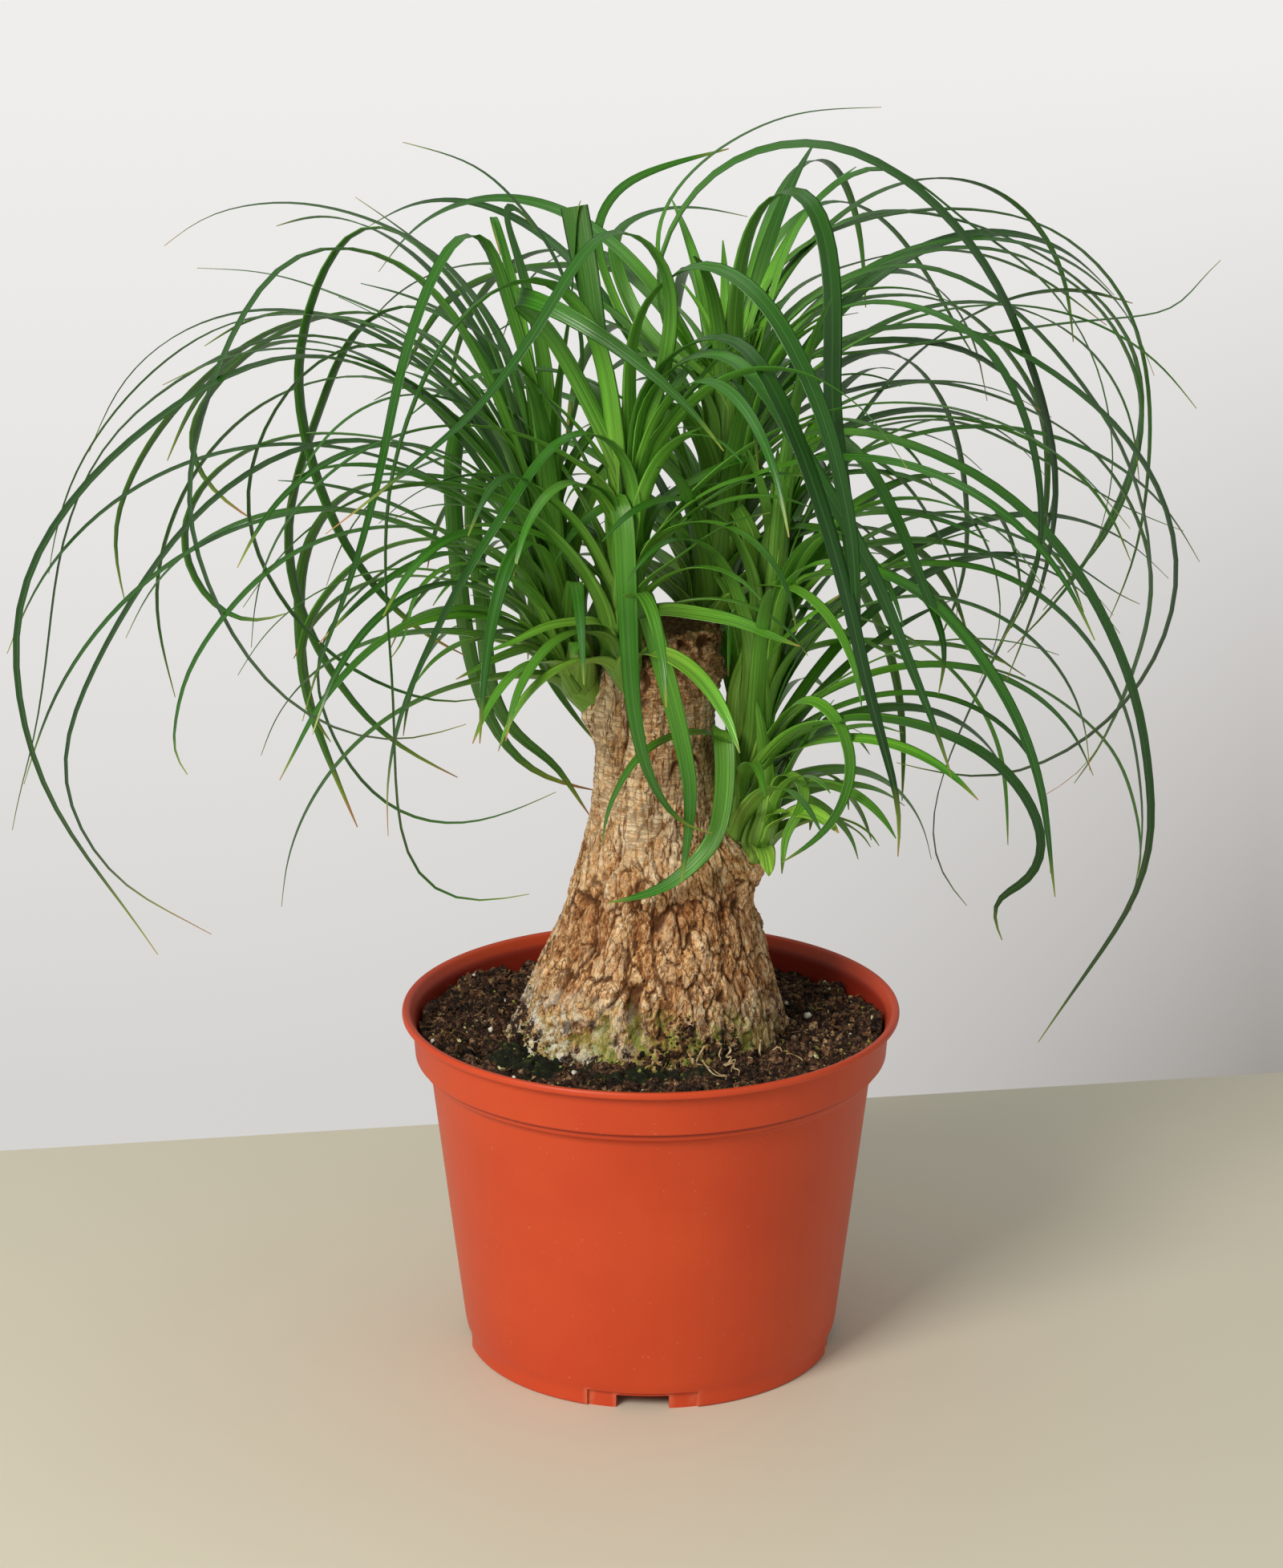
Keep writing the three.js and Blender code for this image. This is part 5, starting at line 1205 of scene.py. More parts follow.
            (0.4, 5, 110, 20, [36, 305, 54, 328, 76, 336, 93, 318, 100, 290, 100, 262, 92, 240]),
            (0.9, 5, 100, 20, [12, 345, -8, 360, -38, 362, -64, 352, -80, 325]),
        ],
    },
    {
        "name": "head_right",
        "stem": [[27, -4, 175, 4], [28.5, -5, 186, 4.5], [32, -6, 206, 6],
                 [35, -6, 235, 6.5], [38, -6, 262, 5], [41, -8, 288, 3.5]],
        "fill": {"count": 15, "from": -45, "to": 110, "long": 175, "short": 80},
        "leaves": [
            (0.9, 7, -50, 20, [46, 305, 60, 311, 78, 307, 100, 298, 116, 287, 130, 273, 144, 252, 157, 222,
             162, 195, 164, 175, 159, 154, 148, 135, 138, 119, 129, 104]),
            (0.6, 6, -85, 10, [44, 262, 58, 268, 74, 264, 90, 255, 105, 238, 117, 219, 125, 200, 129, 183,
             131, 168, 133, 155]),
            (0.25, 7.6, -60, 15, [42, 205, 54, 213, 68, 216, 88, 213, 108, 204, 121, 191, 128, 176, 127, 165,
             121, 158, 113, 156, 112, 148, 116, 140]),
            (0.2, 5, -40, 10, [40, 200, 54, 209, 70, 213.5, 82, 211]),
            (0.3, 5.4, -30, 30, [38, 208, 45, 219, 52, 222.5, 61, 214, 65, 199, 61, 184, 53, 174, 43, 167]),
            (0.7, 4.6, -10, 10, [44, 262, 62, 264, 84, 267, 106, 266, 126, 256, 142, 240, 154, 218, 159, 196,
             161, 175, 158, 150]),
            (0.65, 5.2, 25, 10, [44, 250, 66, 243, 84, 234, 104, 234, 124, 227, 142, 214, 152, 202, 158, 186,
             161, 170, 160, 160]),
            (0.8, 5, 60, 15, [46, 290, 66, 297, 86, 294, 103, 281, 111, 262, 112, 244, 106, 228]),
            (0.75, 4.4, 40, 15, [46, 280, 68, 285, 92, 283, 112, 278, 134, 268, 150, 257, 157, 254]),
            (0.85, 5, 80, 20, [46, 296, 62, 304, 78, 296, 90, 280, 98, 262, 98, 246]),
            (0.7, 4.6, 85, 0, [44, 276, 64, 276, 84, 264, 100, 246, 112, 236, 121, 230]),
            (0.9, 4.8, -70, 20, [44, 305, 56, 310, 68, 300, 79, 280, 88, 258, 95, 240, 93, 224]),
            (0.2, 6.4, -45, 10, [26, 202, 21, 210, 11, 210.5, 0, 206, -8, 197, -14, 184, -16, 173]),
            (0.12, 7, -30, 60, [24, 205, 23, 214, 24, 205, 24, 190, 21, 175, 13, 165, 4, 158, -6, 154.5,
             -14, 153]),
            (0.6, 3.6, 50, 0, [42, 235, 58, 241, 80, 241, 100, 240, 115, 234]),
            (0.5, 6, -20, 30, [38, 235, 48, 247, 58, 255, 62, 258]),
            (0.8, 3.4, 70, 0, [44, 270, 60, 268, 72, 250, 79, 230, 82, 208, 82, 188]),
            (0.55, 5.2, 15, 30, [32, 240, 28, 253, 26, 247, 25, 230]),
        ],
    },
    {
        "name": "head_small",
        "stem": [[34, -9, 171, 3.5], [37, -10, 180, 4], [39, -11, 189, 3]],
        "fill": {"count": 4, "from": -80, "to": 60, "long": 50, "short": 34},
        "leaves": [
            (0.8, 4.6, -14, 10, [42, 196, 47, 196, 50, 191, 48, 184, 44, 176, 43, 163]),
            (0.6, 4.2, -6, 10, [42, 189, 50, 188.5, 58, 184, 65, 176, 68, 168]),
            (0.3, 4.6, -8, 0, [39, 182, 42, 184, 45, 184]),
            (0.7, 4.4, 12, 10, [42, 193, 47, 192, 52, 186, 52, 178]),
        ],
    },
]

# Leaves: the rule that sets every leaf's course, then a fine blade along each course

leafRule = {
    "viewpoint": (-3, -1128, 528),      # where the seen courses were read from
    "rootDepth": 0.5, "steps": 40, "bendTolerance": 3.4, "tipWidth": 1.1,
    "clearance": 2.3, "potRoom": 32, "depthDetour": 6, "turnDetour": 3.5, "detours": 25, "seed": 101,
    # the leaves behind: pairs are the least and its range, triples add how far one leaf strays from that
    "up": (0.1, 0.65), "turnSpread": 16, "lengthPower": 0.8, "lowShare": 0.7,
    "slope": (12, 60, 12), "bend": (70, 90, 24), "wide": (3.4, 3), "twist": 80,
}

goldenShare, goldenTurn = 0.618034, 2.4  # of a circle, and in radians: no leaf stands right over the last

blade = {
    "steps": 46, "sides": 10, "smoothing": 4,
    "tipWidth": 0.4, "taper": 3.9,
    "leastWidth": 2.0, "widthShare": 0.6,     # the widest leaves fold lengthwise and look narrower
    "baseWiden": 0.45, "baseReach": 48,
    "sheathLength": 26, "sheathReach": 24, "sheathWiden": 2.1, "sheathFold": 0.25,
    "hug": (0.7, 0.98, 1.06),  # how far out from the stem's middle its base runs, as a share of the radius
    "sheathOpens": 7, "foldReach": 24, "fold": 0.34, "foldPower": 1.5,
    "thickness": 0.5, "rootThickness": 1.2, "rootReach": 12, "tipThickness": 0.22,
}

# a stem is rooted this far in and down, and is this share of the solid's radius all the way up
stemRule = {"rootIn": 7, "rootDown": 10, "rootWide": 0.45, "footWide": 0.9, "wide": 0.88, "tipUp": 14,
            "tipWide": 0.35}

neverDry = -0.08  # a dry share that leaves the whole tip green

# leaves besides those of the solids, with pairs and triples as in the rule
young = {"count": 6, "up": 0.9, "depth": 0.3, "slope": (86, -22), "length": (24, 26), "bend": (10, 40),
         "wide": (2.6, 1.6), "twist": 60, "fold": 0.6}

shorter = {
    "most": 30, "tallStem": 90, "up": (0.04, 0.82), "depth": 0.8, "length": (50, 75),
    "slope": (38, 44, 12), "bend": (40, 90), "wide": (3.6, 2.4), "twist": 60, "fold": 0.4,
    "turnDetour": 0.16, "room": 2.5,
    "low": (48, 15, 8),       # none hangs this near the trunk, this far forward, this much under the stem
    "face": (25, 0),          # nor this near the trunk's middle and in front of it
}

longer = {
    # how many, on which side in degrees, and how long at most
    "head_left": (13, 95, 265, 250), "head_back": (11, -25, 140, 224),
    "head_right": (6, -35, 50, 214), "head_front": (8, 185, 350, 200),
    "up": (0.3, 0.65), "depth": 0.8, "shortest": 140, "slope": (42, 44), "bend": (100, 66),
    "wide": (2.4, 3.4), "twist": 90, "tries": 9, "turnDetour": 0.137, "room": 3, "boxRoom": 3,
    "face": (26, 5), "faceWidens": (0.4, 195),  # by 0.4 for each mm below a height of 195
}

# an erect leaf cut off square above the crown
cutLeaf = {"shoot": "head_front", "course": [[-9, -22, 288], [-16, -19, 333], [-24, -14, 383]],
           "wide": 14, "tip": 9, "twist": 100, "tone": 0.3, "dryShare": -0.06, "age": 150}


def rootIn(stem, share, heading, depth):
    # a place in the stem, part of the way out on the side that the leaf heads for
    place = min(max(share, 0), 1) * (len(stem) - 1)
    k = min(int(place), len(stem) - 2)
    x, y, z, radius = np.array(stem[k], float) + (np.array(stem[k + 1], float) - stem[k]) * (place - k)
    out = radius * depth
    return np.array([x + out * math.cos(heading), y + out * math.sin(heading), z])


def evenly(points, steps):
    # a smooth row through the given points, evenly spaced along its length
    points = np.asarray(points, float)
    n = len(points)
    padded = points[np.clip(np.arange(-1, n + 2), 0, n - 1)]
    a, b, c, d = (padded[i:i + n - 1, None] for i in range(4))
    t = (np.arange(6) / 6)[None, :, None]
    fine = b + t / 2 * (c - a + t * (2 * a - 5 * b + 4 * c - d + t * (3 * (b - c) + d - a)))
    fine = np.vstack([fine.reshape(-1, points.shape[1]), points[-1:]])
    along = np.concatenate([[0], np.cumsum(np.linalg.norm(np.diff(fine, axis=0), axis=1))])
    want = along[-1] * np.arange(steps + 1) / steps
    k = np.clip(np.searchsorted(along, want, side="left"), 1, len(fine) - 1)
    t = np.clip((want - along[k - 1]) / np.maximum(along[k] - along[k - 1], 1e-9), 0, 1)[:, None]
    return fine[k - 1] + (fine[k] - fine[k - 1]) * t


def bendsOf(even, first, last):
    # the few points of an even row that its bends need
    if last - first > 1:
        chord = even[last] - even[first]
        inner = even[first + 1:last] - even[first]
        t = np.clip(inner @ chord / max(chord @ chord, 1e-12), 0, 1)
        off = np.linalg.norm(inner - t[:, None] * chord, axis=1)
        widest = int(np.argmax(off))
        if off[widest] >= leafRule["bendTolerance"]:
            split = first + 1 + widest
            return bendsOf(even, first, split) + bendsOf(even, split, last)[1:]
    return [first, last]


def seenCourse(stem, place, seen, away):
    # the course of a leaf that was read from the front: its depth grows along the lines of sight
    seen = np.array(seen, float).reshape(-1, 2)
    across = -1 if seen[0, 0] < stem[0][0] else 1
    heading = math.atan2(np.sign(away) * 0.6, across)
    root = rootIn(stem, place, heading, leafRule["rootDepth"])
    eye = np.array(leafRule["viewpoint"], float)
    share = np.sin((np.arange(len(seen)) + 1) / len(seen) * math.pi / 2)
    reach = (root[1] + away * share - eye[1]) / -eye[1]
    inPlane = np.column_stack([seen[:, 0], np.zeros(len(seen)), seen[:, 1]])
    return np.vstack([root, eye + (inPlane - eye) * reach[:, None]])


def bentCourse(root, turn, slope, length, bend):
    # the course of a leaf that is placed by rule: it leaves at a slope and bends down evenly
    points = [root]
    pieces = 9
    for i in range(pieces):
        climb = math.radians(max(slope - bend * ((i + 0.5) / pieces) ** 1.25, -86))
        step = length / pieces
        points.append(points[-1] + step * np.array([math.cos(climb) * math.cos(turn),
                                                    math.cos(climb) * math.sin(turn), math.sin(climb)]))
    return np.array(points)


def frameAlong(even):
    # the directions ahead and to the side at each point; the side is carried along without spinning
    root = even[0]
    spread = np.hypot(even[:, 0] - root[0], even[:, 1] - root[1])
    far = even[max(int(np.argmax(spread)), 1)]
    heading = math.atan2(far[1] - root[1], far[0] - root[0])
    side = np.array([-math.sin(heading), math.cos(heading), 0])
    last = len(even) - 1
    index = np.arange(len(even))
    ahead = even[np.minimum(index + 1, last)] - even[np.maximum(index - 1, 0)]
    ahead /= np.linalg.norm(ahead, axis=1)[:, None]
    sides = []
    for direction in ahead:
        side = side - (side @ direction) * direction
        side /= np.linalg.norm(side)
        sides.append(side)
    return ahead, np.array(sides), heading


def widthAt(share, wide, tip, power=1.8):
    return tip + (wide - tip) * (1 - np.clip((share - 0.2) / 0.8, 0, 1) ** power)


def turned(ahead, sides, degrees):
    # the side and face directions after a leaf's own twist
    angle = np.radians(degrees)[:, None]
    face = np.cross(ahead, sides)
    across = sides * np.cos(angle) + face * np.sin(angle)
    return across, np.cross(ahead, across)


def ruleBlade(course, wide, twist):
    # the rings of the solid blade: its two edges and its middle
    even = evenly(course, leafRule["steps"])
    kept = bendsOf(even, 0, leafRule["steps"])
    ahead, sides, _ = frameAlong(even)
    share = np.arange(len(even)) / leafRule["steps"]
    across, _ = turned(ahead, sides, twist * share)
    half = widthAt(share, wide, leafRule["tipWidth"])[:, None] / 2
    return even[kept], (even + across * half)[kept], (even - across * half)[kept]


def gapsBetween(a, b, c, d):
    # the shortest distance between each piece of line a-b and each piece c-d
    u, v, w = (b - a)[:, None], (d - c)[None], a[:, None] - c[None]
    uu, uv, vv = (u * u).sum(-1), (u * v).sum(-1), (v * v).sum(-1)
    uw, vw = (u * w).sum(-1), (v * w).sum(-1)
    det = uu * vv - uv * uv
    s = np.where(det < 1e-9, 0, np.clip((uv * vw - vv * uw) / np.where(det < 1e-9, 1, det), 0, 1))
    t = np.clip((uv * s + vw) / np.maximum(vv, 1e-9), 0, 1)
    s = np.clip((uv * t - uw) / np.maximum(uu, 1e-9), 0, 1)
    return np.linalg.norm(w + u * s[..., None] - v * t[..., None], axis=-1)


def missesTrunkAndPot(middle, room=5.0):
    near = np.vstack([(middle[1:-1] + middle[2:]) / 2, middle[2:]])
    centre, radius = trunkMiddleAt(np.minimum(near[:, 2], trunk["top"]))
    inTrunk = (near[:, 2] < trunk["top"] + 3) & (np.hypot(near[:, 0] - centre, near[:, 1]) < radius + room)
    overPot = (near[:, 2] < pot["height"] + leafRule["potRoom"]) & (
        np.hypot(near[:, 0], near[:, 1]) < pot["rimRadius"] + room)
    return not (inTrunk | overPot).any()


def drawnIn(pair, draw):
    return pair[0] + pair[1] * draw()


def strayed(triple, share, draw):
    return triple[0] + triple[1] * share + triple[2] * (draw() - 0.5)


def placeLeaves():
    # every leaf is bent clear of the other shoots, those read from the front first
    placed = []
    room = leafRule["clearance"]
    steps = [(k + 1) // 2 * (1 if k % 2 else -1) for k in range(leafRule["detours"])]
    stems = {}
    for shoot in shoots:
        rows = np.array(shoot["stem"], float)
        stems[shoot["name"]] = (rows[:-1, :3], rows[1:, :3], np.maximum(rows[:-1, 3], rows[1:, 3]) + room)

    def isClear(owner, starts, ends):
        low = np.minimum(starts, ends).min(axis=0) - room
        high = np.maximum(starts, ends).max(axis=0) + room
        for other in placed:
            if other["owner"] == owner or (other["low"] > high).any() or (other["high"] < low).any():
                continue
            if (gapsBetween(starts, ends, other["starts"], other["ends"]) < room).any():
                return False
        for name, (first, last, wide) in stems.items():
            if name != owner and (gapsBetween(starts, ends, first, last) < wide[None]).any():
                return False
        return True

    def tryOne(owner, wide, twist, courseAt):
        for step in steps:
            course = courseAt(step)
            middle, left, right = ruleBlade(course, wide, twist)
            if not missesTrunkAndPot(middle):
                continue
            starts = np.vstack([left[:-1], right[:-1], middle[:-1]])
            ends = np.vstack([left[1:], right[1:], middle[1:]])
            if not isClear(owner, starts, ends):
                continue
            placed.append({"owner": owner, "course": course, "wide": wide, "twist": twist,
                           "starts": starts, "ends": ends,
                           "low": np.minimum(starts, ends).min(axis=0) - room,
                           "high": np.maximum(starts, ends).max(axis=0) + room})
            return

    for shoot in shoots:
        for place, wide, away, twist, seen in shoot["leaves"]:
            tryOne(shoot["name"], wide, twist, lambda k: seenCourse(
                shoot["stem"], place, seen, away + k * leafRule["depthDetour"]))
    for number, shoot in enumerate(shoots):
        draw = drawsFrom(leafRule["seed"] + number)
        fill, rule = shoot["fill"], leafRule
        short, more = fill["short"], fill["long"] - fill["short"]
        for i in range(fill["count"]):
            up = (i + 0.5) / fill["count"]
            turn = math.radians(strayed((fill["from"], fill["to"] - fill["from"], rule["turnSpread"]),
                                        (i * goldenShare) % 1, draw))
            length = (short + more * draw() ** rule["lengthPower"]) * (
                rule["lowShare"] + (1 - rule["lowShare"]) * up)
            slope = strayed(rule["slope"], up, draw)
            bend = strayed(rule["bend"], (length - short) / more, draw)
            wide = drawnIn(rule["wide"], draw)
            twist = rule["twist"] * (draw() - 0.5)
            root = rootIn(shoot["stem"], rule["up"][0] + rule["up"][1] * up, turn, rule["rootDepth"])
            tryOne(shoot["name"], wide, twist, lambda k: bentCourse(
                root, turn + k * math.radians(rule["turnDetour"]), slope, length, bend))
    return placed


def strand(course, wide, twist, leafTone, dryShare, stem=None, fold=None, tip=blade["tipWidth"]):
    # one leaf as a row of points with its directions, widths and marks
    points = np.asarray(course, float)
    b = blade
    stemRadius = 0
    if stem is not None:
        # the base hugs the stem below the place where the leaf leaves it
        far = points[max(int(np.argmax(np.hypot(*(points - points[0])[:, :2].T))), 1)]
        heading = math.atan2(far[1] - points[0][1], far[0] - points[0][0])
        heights = np.array(stem, float)[:, 2]
        share = np.interp(points[0][2], heights, np.arange(len(stem)) / (len(stem) - 1))
        lower = np.interp(points[0][2] - b["sheathLength"], heights,
                          np.arange(len(stem)) / (len(stem) - 1))
        stemRadius = np.interp(points[0][2], heights, np.array(stem, float)[:, 3])
        hugged = [rootIn(stem, at, heading, out)
                  for at, out in zip((lower, (lower + share) / 2, share), b["hug"])]
        points = np.vstack(hugged + [points[1:]])
    even = evenly(points, b["steps"])
    for _ in range(b["smoothing"]):
        even[1:-1] = 0.25 * even[:-2] + 0.5 * even[1:-1] + 0.25 * even[2:]
    ahead, sides, _ = frameAlong(even)
    share = np.arange(len(even)) / b["steps"]
    length = np.linalg.norm(np.diff(even, axis=0), axis=1).sum()
    distance = share * length
    across, face = turned(ahead, sides, twist * share)
    wide = b["leastWidth"] + b["widthShare"] * wide
    half = widthAt(share, wide, tip, b["taper"]) / 2
    half = half * (1 + b["baseWiden"] * np.exp(-(distance / b["baseReach"]) ** 2))
    # the base spreads round the stem, but no further than the stem is wide
    spread = np.clip(0.8 * stemRadius, half, b["sheathWiden"] * half)
    half = (half + (spread - half) * np.exp(-(distance / b["sheathReach"]) ** 2)) * (
        0.3 + 0.7 * smoothstep(0, b["sheathOpens"], distance))
    depth = (b["sheathFold"] if fold is None else fold) * np.exp(-(distance / b["foldReach"]) ** 2)
    depth = depth + b["fold"] * (1 - 0.5 * share)
    thick = b["thickness"] / 2
    thick = thick + (b["rootThickness"] - b["thickness"]) / 2 * np.exp(-distance / b["rootReach"])
    thick = thick + (b["tipThickness"] - b["thickness"]) / 2 * share
    return {"point": even, "across": across, "face": face, "half": half, "fold": depth,
            "thick": thick, "alongShare": share, "distance": distance,
            "leafTone": np.full(len(even), leafTone), "dryShare": np.full(len(even), dryShare)}


def stemStrand(stem):
    # the stem itself, from inside the wood to a point inside the youngest leaves
    s = stemRule
    x, y, z, radius = stem[0]
    middle, _ = trunkMiddleAt(z)
    inward = np.array([middle - x, -y]) / math.hypot(middle - x, y)
    rows = [[x + s["rootIn"] * inward[0], y + s["rootIn"] * inward[1], z - s["rootDown"],
             radius * s["rootWide"]],
            [x + inward[0], y + inward[1], z, radius * s["footWide"]]]
    rows += [[*row[:3], row[3] * s["wide"]] for row in stem[1:]]
    x, y, z, radius = stem[-1]
    rows.append([x, y, z + s["tipUp"], radius * s["tipWide"]])
    even = evenly(rows, blade["steps"])
    ahead, sides, _ = frameAlong(even[:, :3])
    share = np.arange(len(even)) / blade["steps"]
    count = len(even)
    return {"point": even[:, :3], "across": sides, "face": np.cross(ahead, sides), "half": even[:, 3],
            "fold": np.zeros(count), "thick": even[:, 3], "alongShare": share * 0.1,
            "distance": share * 20, "leafTone": np.full(count, 0.5), "dryShare": np.zeros(count)}


def youngLeaves(shoot, draw):
    # the newest leaves stand nearly upright at the growing point
    s = young
    strands = []
    for i in range(s["count"]):
        turn = i * goldenTurn + draw()
        root = rootIn(shoot["stem"], s["up"], turn, s["depth"])
        course = bentCourse(root, turn, drawnIn(s["slope"], draw), drawnIn(s["length"], draw),
                            drawnIn(s["bend"], draw))
        strands.append(strand(course, drawnIn(s["wide"], draw), s["twist"] * (draw() - 0.5), draw(),
                              neverDry, shoot["stem"], fold=s["fold"]))
    return strands


def hidesTrunk(even, half, front):
    # the points of a course that would stand before the bare trunk
    return (np.abs(even[:, 0] - trunk["faceMiddle"]) < half) & (even[:, 1] < front) & (
        even[:, 2] < trunk["top"] + 4)


def shorterLeaves(shoot, draw):
    # shorter leaves all round the stem, whose broad bases wrap it one over the next
    s = shorter
    strands = []
    foot, top = shoot["stem"][0][2], shoot["stem"][-1][2]
    count = int(s["most"] * min((top - foot) / s["tallStem"], 1) ** 1.3)
    near, front, under = s["low"]
    for i in range(count):
        up = (i + 0.5) / count
        turn = i * goldenTurn + 0.6 * draw()
        root = rootIn(shoot["stem"], s["up"][0] + s["up"][1] * up, turn, s["depth"])
        length = min(drawnIn(s["length"], draw), 1.5 * (top - foot) + 16)
        slope, bend = strayed(s["slope"], up, draw), drawnIn(s["bend"], draw)
        wide, twist, tone = drawnIn(s["wide"], draw), s["twist"] * (draw() - 0.5), draw()
        for step in (0, 1, -1, 2, -2, 3, -3, 4, -4):
            course = bentCourse(root, turn + s["turnDetour"] * step, slope, length, bend)
            even = evenly(course, 20)
            low = (np.abs(even[:, 0]) < near) & (even[:, 1] < front) & (even[:, 2] < foot - under)
            if missesTrunkAndPot(even[3:], s["room"]) and not (low | hidesTrunk(even, *s["face"])).any():
                strands.append(strand(course, wide, twist, tone, neverDry, shoot["stem"], fold=s["fold"]))
                break
    return strands


def longerLeaves(shoot, draw):
    # long arching leaves between those of the solids, clear of the trunk and inside the solids' own box
    s = longer
    strands = []
    low, high = (np.array(corner) / mm for corner in cadBox)
    count, first, last, longest = s.get(shoot["name"], (0, 0, 0, 0))
    (half, front), (widens, below) = s["face"], s["faceWidens"]
    for i in range(count):
        up = drawnIn(s["up"], draw)
        slope, bend = drawnIn(s["slope"], draw), drawnIn(s["bend"], draw)
        length, wide = drawnIn((s["shortest"], longest - s["shortest"]), draw), drawnIn(s["wide"], draw)
        twist, tone = s["twist"] * (draw() - 0.5), draw()
        share = (i * goldenShare + 0.3 * draw()) % 1
        for step in range(s["tries"]):
            turn = math.radians(first + (last - first) * ((share + s["turnDetour"] * step) % 1))
            root = rootIn(shoot["stem"], up, turn, s["depth"])
            course = bentCourse(root, turn, slope, length, bend)
            even = evenly(course, 30)
            hides = hidesTrunk(even, half + widens * np.clip(below - even[:, 2], 0, 100), front)
            inBox = (even > low + s["boxRoom"]).all() and (even < high - s["boxRoom"]).all()
            if missesTrunkAndPot(even[3:], s["room"]) and inBox and not hides.any():
                strands.append(strand(course, wide, twist, tone, 0.02 * draw(), shoot["stem"]))
                break
    return strands


def bladeTree():
    # rows of points in, closed blades out: a round profile is spread across each row's own directions
    tree, given = newGroup("bladesAlongCourses", [("Sides", "Int", 12), ("Fold Power", "Float", 1.5),
                                                  ("Material", "Material", None)])
    rows = addNode(tree, "GeometryNodeMeshToCurve", {"Mesh": given["Geometry"]})
    centre = tree.nodes.new("GeometryNodeCaptureAttribute")
    centre.capture_items.new("VECTOR", "centre")
    tree.links.new(rows.outputs[0], centre.inputs[0])
    place = addNode(tree, "GeometryNodeInputPosition")
    tree.links.new(place.outputs[0], centre.inputs[1])
    circle = addNode(tree, "GeometryNodeCurvePrimitiveCircle", {"Resolution": given["Sides"], "Radius": 1.0})
    rim = tree.nodes.new("GeometryNodeCaptureAttribute")
    rim.capture_items.new("VECTOR", "rim")
    tree.links.new(circle.outputs[0], rim.inputs[0])
    tree.links.new(place.outputs[0], rim.inputs[1])
    swept = addNode(tree, "GeometryNodeCurveToMesh",
                    {"Curve": centre.outputs[0], "Profile Curve": rim.outputs[0], "Fill Caps": True})
    rimParts = addNode(tree, "SeparateXYZ", {0: rim.outputs[1]})
    across, face, half, fold, thick = (
        addNode(tree, "GeometryNodeInputNamedAttribute", {"Name": name}, data_type=kind)
        for name, kind in (("across", "FLOAT_VECTOR"), ("face", "FLOAT_VECTOR"), ("half", "FLOAT"),
                           ("fold", "FLOAT"), ("thick", "FLOAT")))
    spanned = addNode(tree, "Math", {0: half, 1: rimParts.outputs[0]}, operation="MULTIPLY")
    outward = addNode(tree, "Math", {0: rimParts.outputs[0]}, operation="ABSOLUTE")
    curl = addNode(tree, "Math", {0: outward, 1: given["Fold Power"]}, operation="POWER")
    folded = addNode(tree, "Math", {0: fold, 1: half}, operation="MULTIPLY")
    raised = addNode(tree, "Math", {0: folded, 1: curl}, operation="MULTIPLY")
    lifted = addNode(tree, "Math", {0: thick, 1: rimParts.outputs[1], 2: raised}, operation="MULTIPLY_ADD")
    sideways = addNode(tree, "VectorMath", {0: across, "Scale": spanned}, operation="SCALE")
    upward = addNode(tree, "VectorMath", {0: face, "Scale": lifted}, operation="SCALE")
    offset = addNode(tree, "VectorMath", {0: sideways, 1: upward}, operation="ADD")
    placeAt = addNode(tree, "VectorMath", {0: centre.outputs[1], 1: offset}, operation="ADD")
    shaped = addNode(tree, "GeometryNodeSetPosition", {"Geometry": swept, "Position": placeAt})
    acrossMm = addNode(tree, "Math", {0: spanned, 1: mm}, operation="DIVIDE")
    marked = addNode(tree, "GeometryNodeStoreNamedAttribute",
                     {"Geometry": shaped, "Name": "acrossMm", "Value": acrossMm},
                     data_type="FLOAT", domain="POINT")
    sided = addNode(tree, "GeometryNodeStoreNamedAttribute",
                    {"Geometry": marked, "Name": "upperSide", "Value": rimParts.outputs[1]},
                    data_type="FLOAT", domain="POINT")
    smooth = addNode(tree, "GeometryNodeSetShadeSmooth", {"Geometry": sided})
    real = addNode(tree, "GeometryNodeRealizeInstances", {"Geometry": smooth})
    shown = addNode(tree, "GeometryNodeSetMaterial", {"Geometry": real, "Material": given["Material"]})
    addNode(tree, "NodeGroupOutput", {"Geometry": shown})
    return tree


def rowsObject(name, strands):
    # all the rows as one mesh of edges, with their directions and sizes on the points
    def joined(key):
        return np.concatenate([s[key] for s in strands]) * (mm if key in ("point", "half", "thick") else 1)

    edges, start = [], 0
    for s in strands:
        index = np.arange(start, start + len(s["point"]) - 1)
        edges.append(np.column_stack([index, index + 1]))
        start += len(s["point"])
    mesh = bpy.data.meshes.new(name)
    mesh.from_pydata(joined("point").tolist(), np.vstack(edges).tolist(), [])
    markPoints(mesh, {key: joined(key) for key in ("across", "face")}, "FLOAT_VECTOR")
    markPoints(mesh, {key: joined(key) for key in ("half", "fold", "thick", "alongShare", "distance",
                                                   "leafTone", "dryShare")})
    return placeObject(name, mesh)


def sweptBlades(name, strands, tree, material):
    rows = rowsObject(name + "Rows", strands)
    sweep = rows.modifiers.new("blades", "NODES")
    sweep.node_group = tree
    giveInputs(sweep, {"Sides": blade["sides"], "Fold Power": blade["foldPower"], "Material": material})
    made = bakedCopy(rows, name)
    faceOutwards(made.data)
    for key in ("across", "face", "half", "fold", "thick"):
        made.data.attributes.remove(made.data.attributes[key])
    return made


